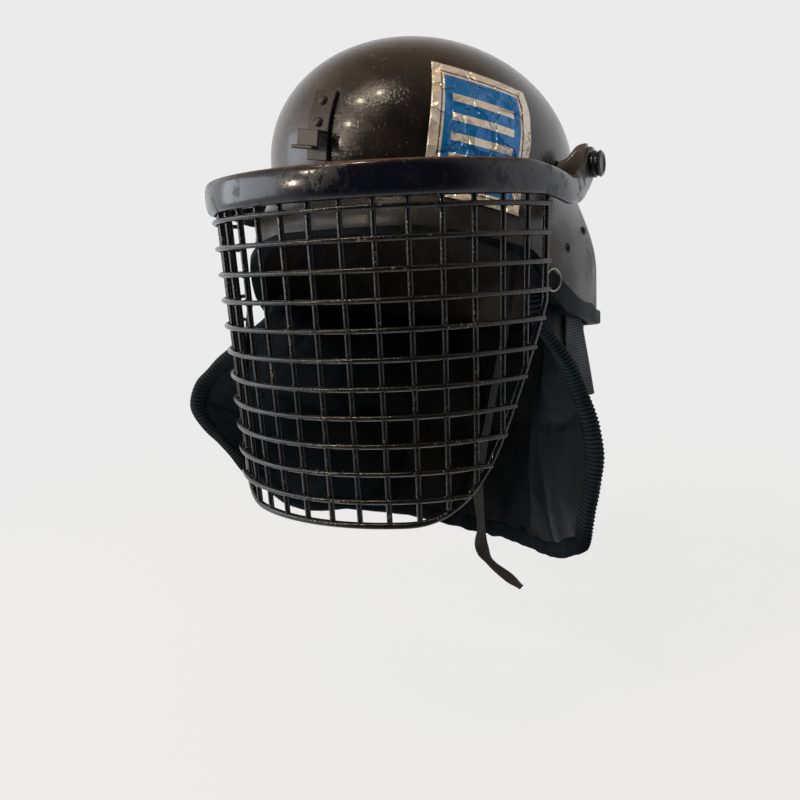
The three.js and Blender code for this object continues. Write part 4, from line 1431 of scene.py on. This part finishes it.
def puff(share, drop):
    """How far the lining swells between the seams, 0 to 1."""
    across = smoothstep(min(seam_distance(share), share, 1.0 - share), 0.0, PUFF_REACH)
    below = smoothstep(min(abs(drop - SEAM_DROP), 1.0 - drop, drop), 0.0, PUFF_REACH_DOWN)
    return across * below


def pucker(share, drop):
    """Gathers beside the right flap's binding."""
    near = 1.0 - smoothstep(1.0 - share, 0.0, PUCKER_REACH)
    return near * math.sin(PUCKER_TURNS * drop) * smoothstep(1.0 - drop, 0.0, PUCKER_END)


print("pad has", len(SEAM_SHARES), "upright seams")

# %% The pad before it swells
PAD_AROUND = 132
PAD_DOWN = 44
SAG_DEPTH = 0.005
SAG_SCALE = (20.0, 4.0)
SAG_SIDE = 0.05
SAG_TOP = 0.2


def pad_face(side):
    def place(share, drop):
        half = CURTAIN_THICKNESS / 2 - CREASE_DEPTH * seam_share(share, drop)
        if side < 0:
            half += PUFF_DEPTH * puff(share, drop) + PUCKER_DEPTH * pucker(share, drop)
        sag = SAG_DEPTH * noise.noise(Vector((share * SAG_SCALE[0], drop * SAG_SCALE[1], 0.0)))
        fade = smoothstep(min(share, 1.0 - share), 0.0, SAG_SIDE) * smoothstep(drop, 0.0, SAG_TOP)
        return curtain_point(share, drop) + curtain_normal(share, drop) * (side * half + sag * fade)
    return place


def pad_mesh():
    bm = surface(PAD_AROUND, PAD_DOWN, pad_face(1.0))
    back = surface(PAD_AROUND, PAD_DOWN, pad_face(-1.0))
    spare = bpy.data.meshes.new("pad_back")
    back.to_mesh(spare)
    back.free()
    bm.from_mesh(spare)
    bpy.data.meshes.remove(spare)
    open_edges = [edge for edge in bm.edges if edge.is_boundary]
    bmesh.ops.bridge_loops(bm, edges=open_edges)
    return bm


print("pad is", PAD_AROUND, "by", PAD_DOWN, "faces on each side")

# %% Swelling
SWELL_PRESSURE = 4.0
SWELL_FRAMES = 16
SWELL_LIMIT = 0.006
HOLD_TOP = 0.12
NO_MOVE = 1e-9


def hold_group(piece):
    """Pins the pad's edges, its top and its seams."""
    group = piece.vertex_groups.new(name="held")
    laid = piece.data.uv_layers["flat"].data
    for loop, flat in zip(piece.data.loops, laid):
        share, drop = flat.uv
        top = 1.0 - smoothstep(drop, 0.0, HOLD_TOP)
        grip = max(seam_share(share, drop), edge_share(share, drop), top)
        group.add([loop.vertex_index], min(grip, 1.0), "REPLACE")


def swell(piece):
    """Lets the pad fill out as cloth, and caps how far any point moves."""
    cloth = piece.modifiers.new("padding", "CLOTH")
    cloth.settings.vertex_group_mass = "held"
    cloth.settings.use_pressure = True
    cloth.settings.uniform_pressure_force = SWELL_PRESSURE
    cloth.settings.effector_weights.gravity = 0.0
    cloth.point_cache.frame_start = 1
    cloth.point_cache.frame_end = SWELL_FRAMES
    for step in range(1, SWELL_FRAMES + 1):
        bpy.context.scene.frame_set(step)
    depsgraph = bpy.context.evaluated_depsgraph_get()
    swollen = [vert.co.copy() for vert in piece.evaluated_get(depsgraph).data.vertices]
    piece.modifiers.remove(cloth)
    for vert, target in zip(piece.data.vertices, swollen):
        move = target - vert.co
        vert.co += move * min(1.0, SWELL_LIMIT / max(move.length, NO_MOVE))
    bpy.context.scene.frame_set(1)


print("pad may swell by", SWELL_LIMIT, "m")

# %% Padded curtain
DEEP_BACK = (-0.005, 0.030)
PAINTED_LIGHT_TO_RIGHT = (-0.120, -0.200)


def curtain_nylon():
    paint = Paint("curtain_nylon")
    dust = paint.noise(26.0, 4.0).between(0.35, 0.75)
    wrinkle = paint.noise(70.0, 3.0, 0.6, paint.stretched((1.0, 1.0, 0.5)))
    weave = paint.noise(1400.0, 2.0)
    deep = paint.axis("Y").between(*DEEP_BACK)
    # painted light: the right flap, towards the window, is given a paler blue-grey
    faded = paint.axis("X").between(*PAINTED_LIGHT_TO_RIGHT)
    tone = paint.mix(dust, colour(0.0015, 0.0032, 0.0052), colour(0.0060, 0.0120, 0.0175))
    shaded = paint.mix(deep * 0.75, tone, colour(0.0010, 0.0014, 0.0020))
    return paint.look({
        "Base Color": paint.mix(faded * 0.8, shaded, colour(0.0180, 0.0265, 0.0305)),
        "Roughness": 0.48 + 0.2 * dust + 0.2 * deep,
        "Normal": paint.bump(wrinkle + 0.06 * weave, 0.55, 0.004),
        "Specular IOR Level": 0.12,
    })


curtain = keep(pad_mesh(), "curtain_pad", "helmet", curtain_nylon(), ["neck_curtain"])
hold_group(curtain)
swell(curtain)
smooth = curtain.modifiers.new("smooth", "SUBSURF")
smooth.levels = 1
smooth.render_levels = 1
print("curtain padded")

# %% [markdown]
# ## Binding
# The curtain's front edges and hem are bound with knitted tape, gathered into close uneven ribs, which are
# shallower on the right flap. It is one rounded strip beside the edge. Its ribs are real, so they show in the
# outline. The tape is painted darker between the ribs and paler on their crests, as painted shade and
# highlight, and painted darkest at the hem, as painted shade at the bottom.

# %% The curtain's edge
BINDING_START = 0.03
HEM_STEPS = 40
EDGE_STEPS = 10
EDGE_END = 0.95


def edge_row(share, drop, sideways, downwards):
    """A point on the curtain's edge and the way out from it."""
    around, down = curtain_directions(share, drop)
    square_around = (around - down * down.dot(around)).normalized()
    square_down = (down - around * around.dot(down)).normalized()
    return curtain_point(share, drop), (square_around * sideways + square_down * downwards).normalized()


def edge_rows():
    """Rows down the left front edge, along the hem and up the right front edge."""
    drops = [lerp(BINDING_START, EDGE_END, i / EDGE_STEPS) for i in range(EDGE_STEPS + 1)]
    rows = [edge_row(0.0, drop, -1.0, 0.0) for drop in drops]
    rows.append(edge_row(0.0, 1.0, -1.0, 1.0))
    rows += [edge_row(i / HEM_STEPS, 1.0, 0.0, 1.0) for i in range(1, HEM_STEPS)]
    rows.append(edge_row(1.0, 1.0, 1.0, 1.0))
    return rows + [edge_row(1.0, drop, 1.0, 0.0) for drop in reversed(drops)]


EDGE = edge_rows()
EDGE_POINTS = [point for point, out in EDGE]
EDGE_LENGTH = sum((second - first).length for first, second in zip(EDGE_POINTS, EDGE_POINTS[1:]))
print("edge is", round(EDGE_LENGTH, 3), "m long")

# %% The binding's shape
BINDING_HALF_WIDTH = 0.0080
BINDING_CENTRE = 0.0048
LEFT_HALF_DEPTH = 0.0055
RIGHT_HALF_DEPTH = 0.0048
RIGHT_FROM = 0.5
RIGHT_FULL = 0.75
BINDING_ALONG = 1900
BINDING_AROUND = 14
BINDING_SQUARENESS = 0.75
RIBS_PER_STEP = 6
BINDING_RIBS = RIBS_PER_STEP * (len(EDGE) - 1)
RIB_DEPTH = 0.08
RIGHT_RIB_DEPTH = 0.02
RIB_CHANGE = 0.9
RIB_CHANGE_TURNS = 60.0
LUMP_DEPTH = 0.26
LUMP_TURNS = 42.0


def binding_place(along, around):
    place = along * (len(EDGE) - 1)
    i = min(int(place), len(EDGE) - 2)
    out = EDGE[i][1].lerp(EDGE[i + 1][1], place - i).normalized()
    ahead = (EDGE_POINTS[i + 1] - EDGE_POINTS[i]).normalized()
    through = ahead.cross(out).normalized()
    uneven = 1.0 + RIB_CHANGE * noise.noise(Vector((along * RIB_CHANGE_TURNS, 0.0, 0.0)))
    ribs = uneven * math.sin(math.tau * RIBS_PER_STEP * place)
    right = smoothstep(along, RIGHT_FROM, RIGHT_FULL)
    angle = math.tau * around
    lump = 1.0 + LUMP_DEPTH * noise.noise(Vector((along * LUMP_TURNS, math.cos(angle), math.sin(angle))))
    swell = lump * (1.0 + lerp(RIB_DEPTH, RIGHT_RIB_DEPTH, right) * ribs)
    half_depth = lerp(LEFT_HALF_DEPTH, RIGHT_HALF_DEPTH, right)
    wide = BINDING_HALF_WIDTH * swell * rounded_power(math.cos(angle), BINDING_SQUARENESS)
    deep = half_depth * swell * rounded_power(math.sin(angle), BINDING_SQUARENESS)
    return curve_point(EDGE_POINTS, along) + out * (BINDING_CENTRE + wide) + through * deep


print("binding has", BINDING_RIBS, "ribs")

# %% Binding tape
BINDING_DARK = colour(0.0025, 0.0050, 0.0075)
BINDING_PALE = colour(0.024, 0.044, 0.058)
HEM_SHADE_DOWN = (-0.400, -0.425)


def ribbed_tape(name, along, ribs, dark, pale):
    """Tape with ribs that follow each other along one way of its flat map, with painted shade between the
    ribs and a painted highlight on their crests.
    """
    paint = Paint(name)
    dust = paint.noise(45.0, 4.0).between(0.35, 0.75)
    knit = paint.noise(1300.0, 2.0)
    # painted shade: darker towards the bottom, at the hem
    hem = paint.axis("Z").between(*HEM_SHADE_DOWN)
    # painted shade between the ribs and painted highlight on their crests
    rib_shading = (paint.flat(along) * (math.tau * ribs)).sine() * 0.5 + 0.5
    tone = paint.mix(rib_shading * (0.5 + 0.5 * dust), dark, pale)
    return paint.look({
        "Base Color": paint.mix(hem * 0.6, tone, colour(0.0010, 0.0017, 0.0026)),
        "Roughness": 0.6 + 0.15 * dust + 0.15 * hem,
        "Normal": paint.bump(knit, 0.6, 0.0008),
        "Specular IOR Level": 0.10,
    })


binding_finish = ribbed_tape("ribbed_tape", "X", BINDING_RIBS, BINDING_DARK, BINDING_PALE)
bm = surface(BINDING_ALONG, BINDING_AROUND, binding_place)
close_ends(bm)
keep(bm, "binding_tape", "helmet", binding_finish, ["curtain_binding"])

# %% [markdown]
# ## Webbing tab
# A short tab of ribbed webbing hangs from inside the rim outside the left flap. It is a small cloth sheet,
# with the ribs that run across it made as real ridges. Its finish is the binding's, in paler tones.

# %% Webbing tab
TAB_WIDTH = 0.034
TAB_THICKNESS = 0.0025
TAB_TOP = -0.127
TAB_DROP = 0.072
TAB_TOP_SIDE = 0.137
TAB_SWING = 0.006
TAB_TOP_TURN_DEG = 4.0
TAB_END_TURN_DEG = 30.0
TAB_RIB_PITCH = 0.0024
TAB_RIB_DEPTH = 0.0002
TAB_ROWS = 160
TAB_COLUMNS = 12
TAB_CURL = 0.0015
TAB_DARK = colour(0.008, 0.010, 0.014)
TAB_PALE = colour(0.125, 0.138, 0.156)


def tab_place(across, drop):
    rib = TAB_RIB_DEPTH * math.sin(math.tau * drop * TAB_DROP / TAB_RIB_PITCH)
    curl = TAB_CURL * math.sin(math.pi * across) * drop
    turn = math.radians(lerp(TAB_TOP_TURN_DEG, TAB_END_TURN_DEG, drop))
    along = (across - 0.5) * TAB_WIDTH
    side = TAB_TOP_SIDE + TAB_SWING * drop + TAB_THICKNESS / 2 + rib + curl
    return ORIGIN + Vector((side + along * math.sin(turn), along * math.cos(turn), TAB_TOP - TAB_DROP * drop))


tab_finish = ribbed_tape("tab_tape", "Y", TAB_DROP / TAB_RIB_PITCH, TAB_DARK, TAB_PALE)
bm = surface(TAB_COLUMNS, TAB_ROWS, tab_place)
tab = keep(bm, "tab_webbing", "helmet", tab_finish, ["curtain_tab"])
thicken(tab, TAB_THICKNESS - 2 * TAB_RIB_DEPTH, 0.0)
print("tab is", TAB_WIDTH, "by", round(math.hypot(TAB_DROP, TAB_SWING), 4), "m")

# %% [markdown]
# ## Wire ring
# A thin bright ring of wire is left on the front corner of the skirt. A small circle is spun into a ring and
# laid flat on the rubber.

# %% Wire ring
RING_RADIUS = 0.0085
RING_WIRE = 0.0008
RING_DEGREES = 71.5
RING_HEIGHT = -0.095
RING_STEPS = 48
RING_SECTION = 10


def ring_mesh():
    bm = bmesh.new()
    section = bmesh.ops.create_circle(bm, segments=RING_SECTION, radius=RING_WIRE)["verts"]
    bmesh.ops.transform(bm, matrix=Matrix.Translation((0.0, 0.0, RING_RADIUS)), verts=section)
    spun = list(bm.verts) + list(bm.edges)
    bmesh.ops.rotate(bm, cent=(0, 0, RING_RADIUS), matrix=Matrix.Rotation(math.pi / 2, 3, "X"), verts=section)
    bmesh.ops.spin(
        bm, geom=spun, cent=(0, 0, 0), axis=(1, 0, 0), angle=math.tau, steps=RING_STEPS, use_merge=True
    )
    return bm


def bright_wire():
    paint = Paint("bright_wire")
    tarnish = paint.noise(300.0, 3.0)
    return paint.look({
        "Base Color": paint.mix(tarnish, colour(0.40, 0.37, 0.32), colour(0.22, 0.19, 0.15)),
        "Metallic": 0.75 + 0.2 * tarnish,
        "Roughness": 0.25 + 0.2 * tarnish,
        "Normal": paint.bump(tarnish, 0.2, 0.0002),
    })


ring_angle = math.radians(RING_DEGREES)
ring_out = shell_normal(ring_angle, RING_HEIGHT)
ring_seat = shell_point(ring_angle, RING_HEIGHT, -GAP - TRIM_THICKNESS) + ring_out * (GAP + RING_WIRE)
bm = ring_mesh()
ring_turn = Vector((1.0, 0.0, 0.0)).rotation_difference(ring_out).to_matrix().to_4x4()
bm.transform(Matrix.Translation(ring_seat) @ ring_turn)
keep(bm, "ring_wire", "helmet", bright_wire(), ["wire_ring"])
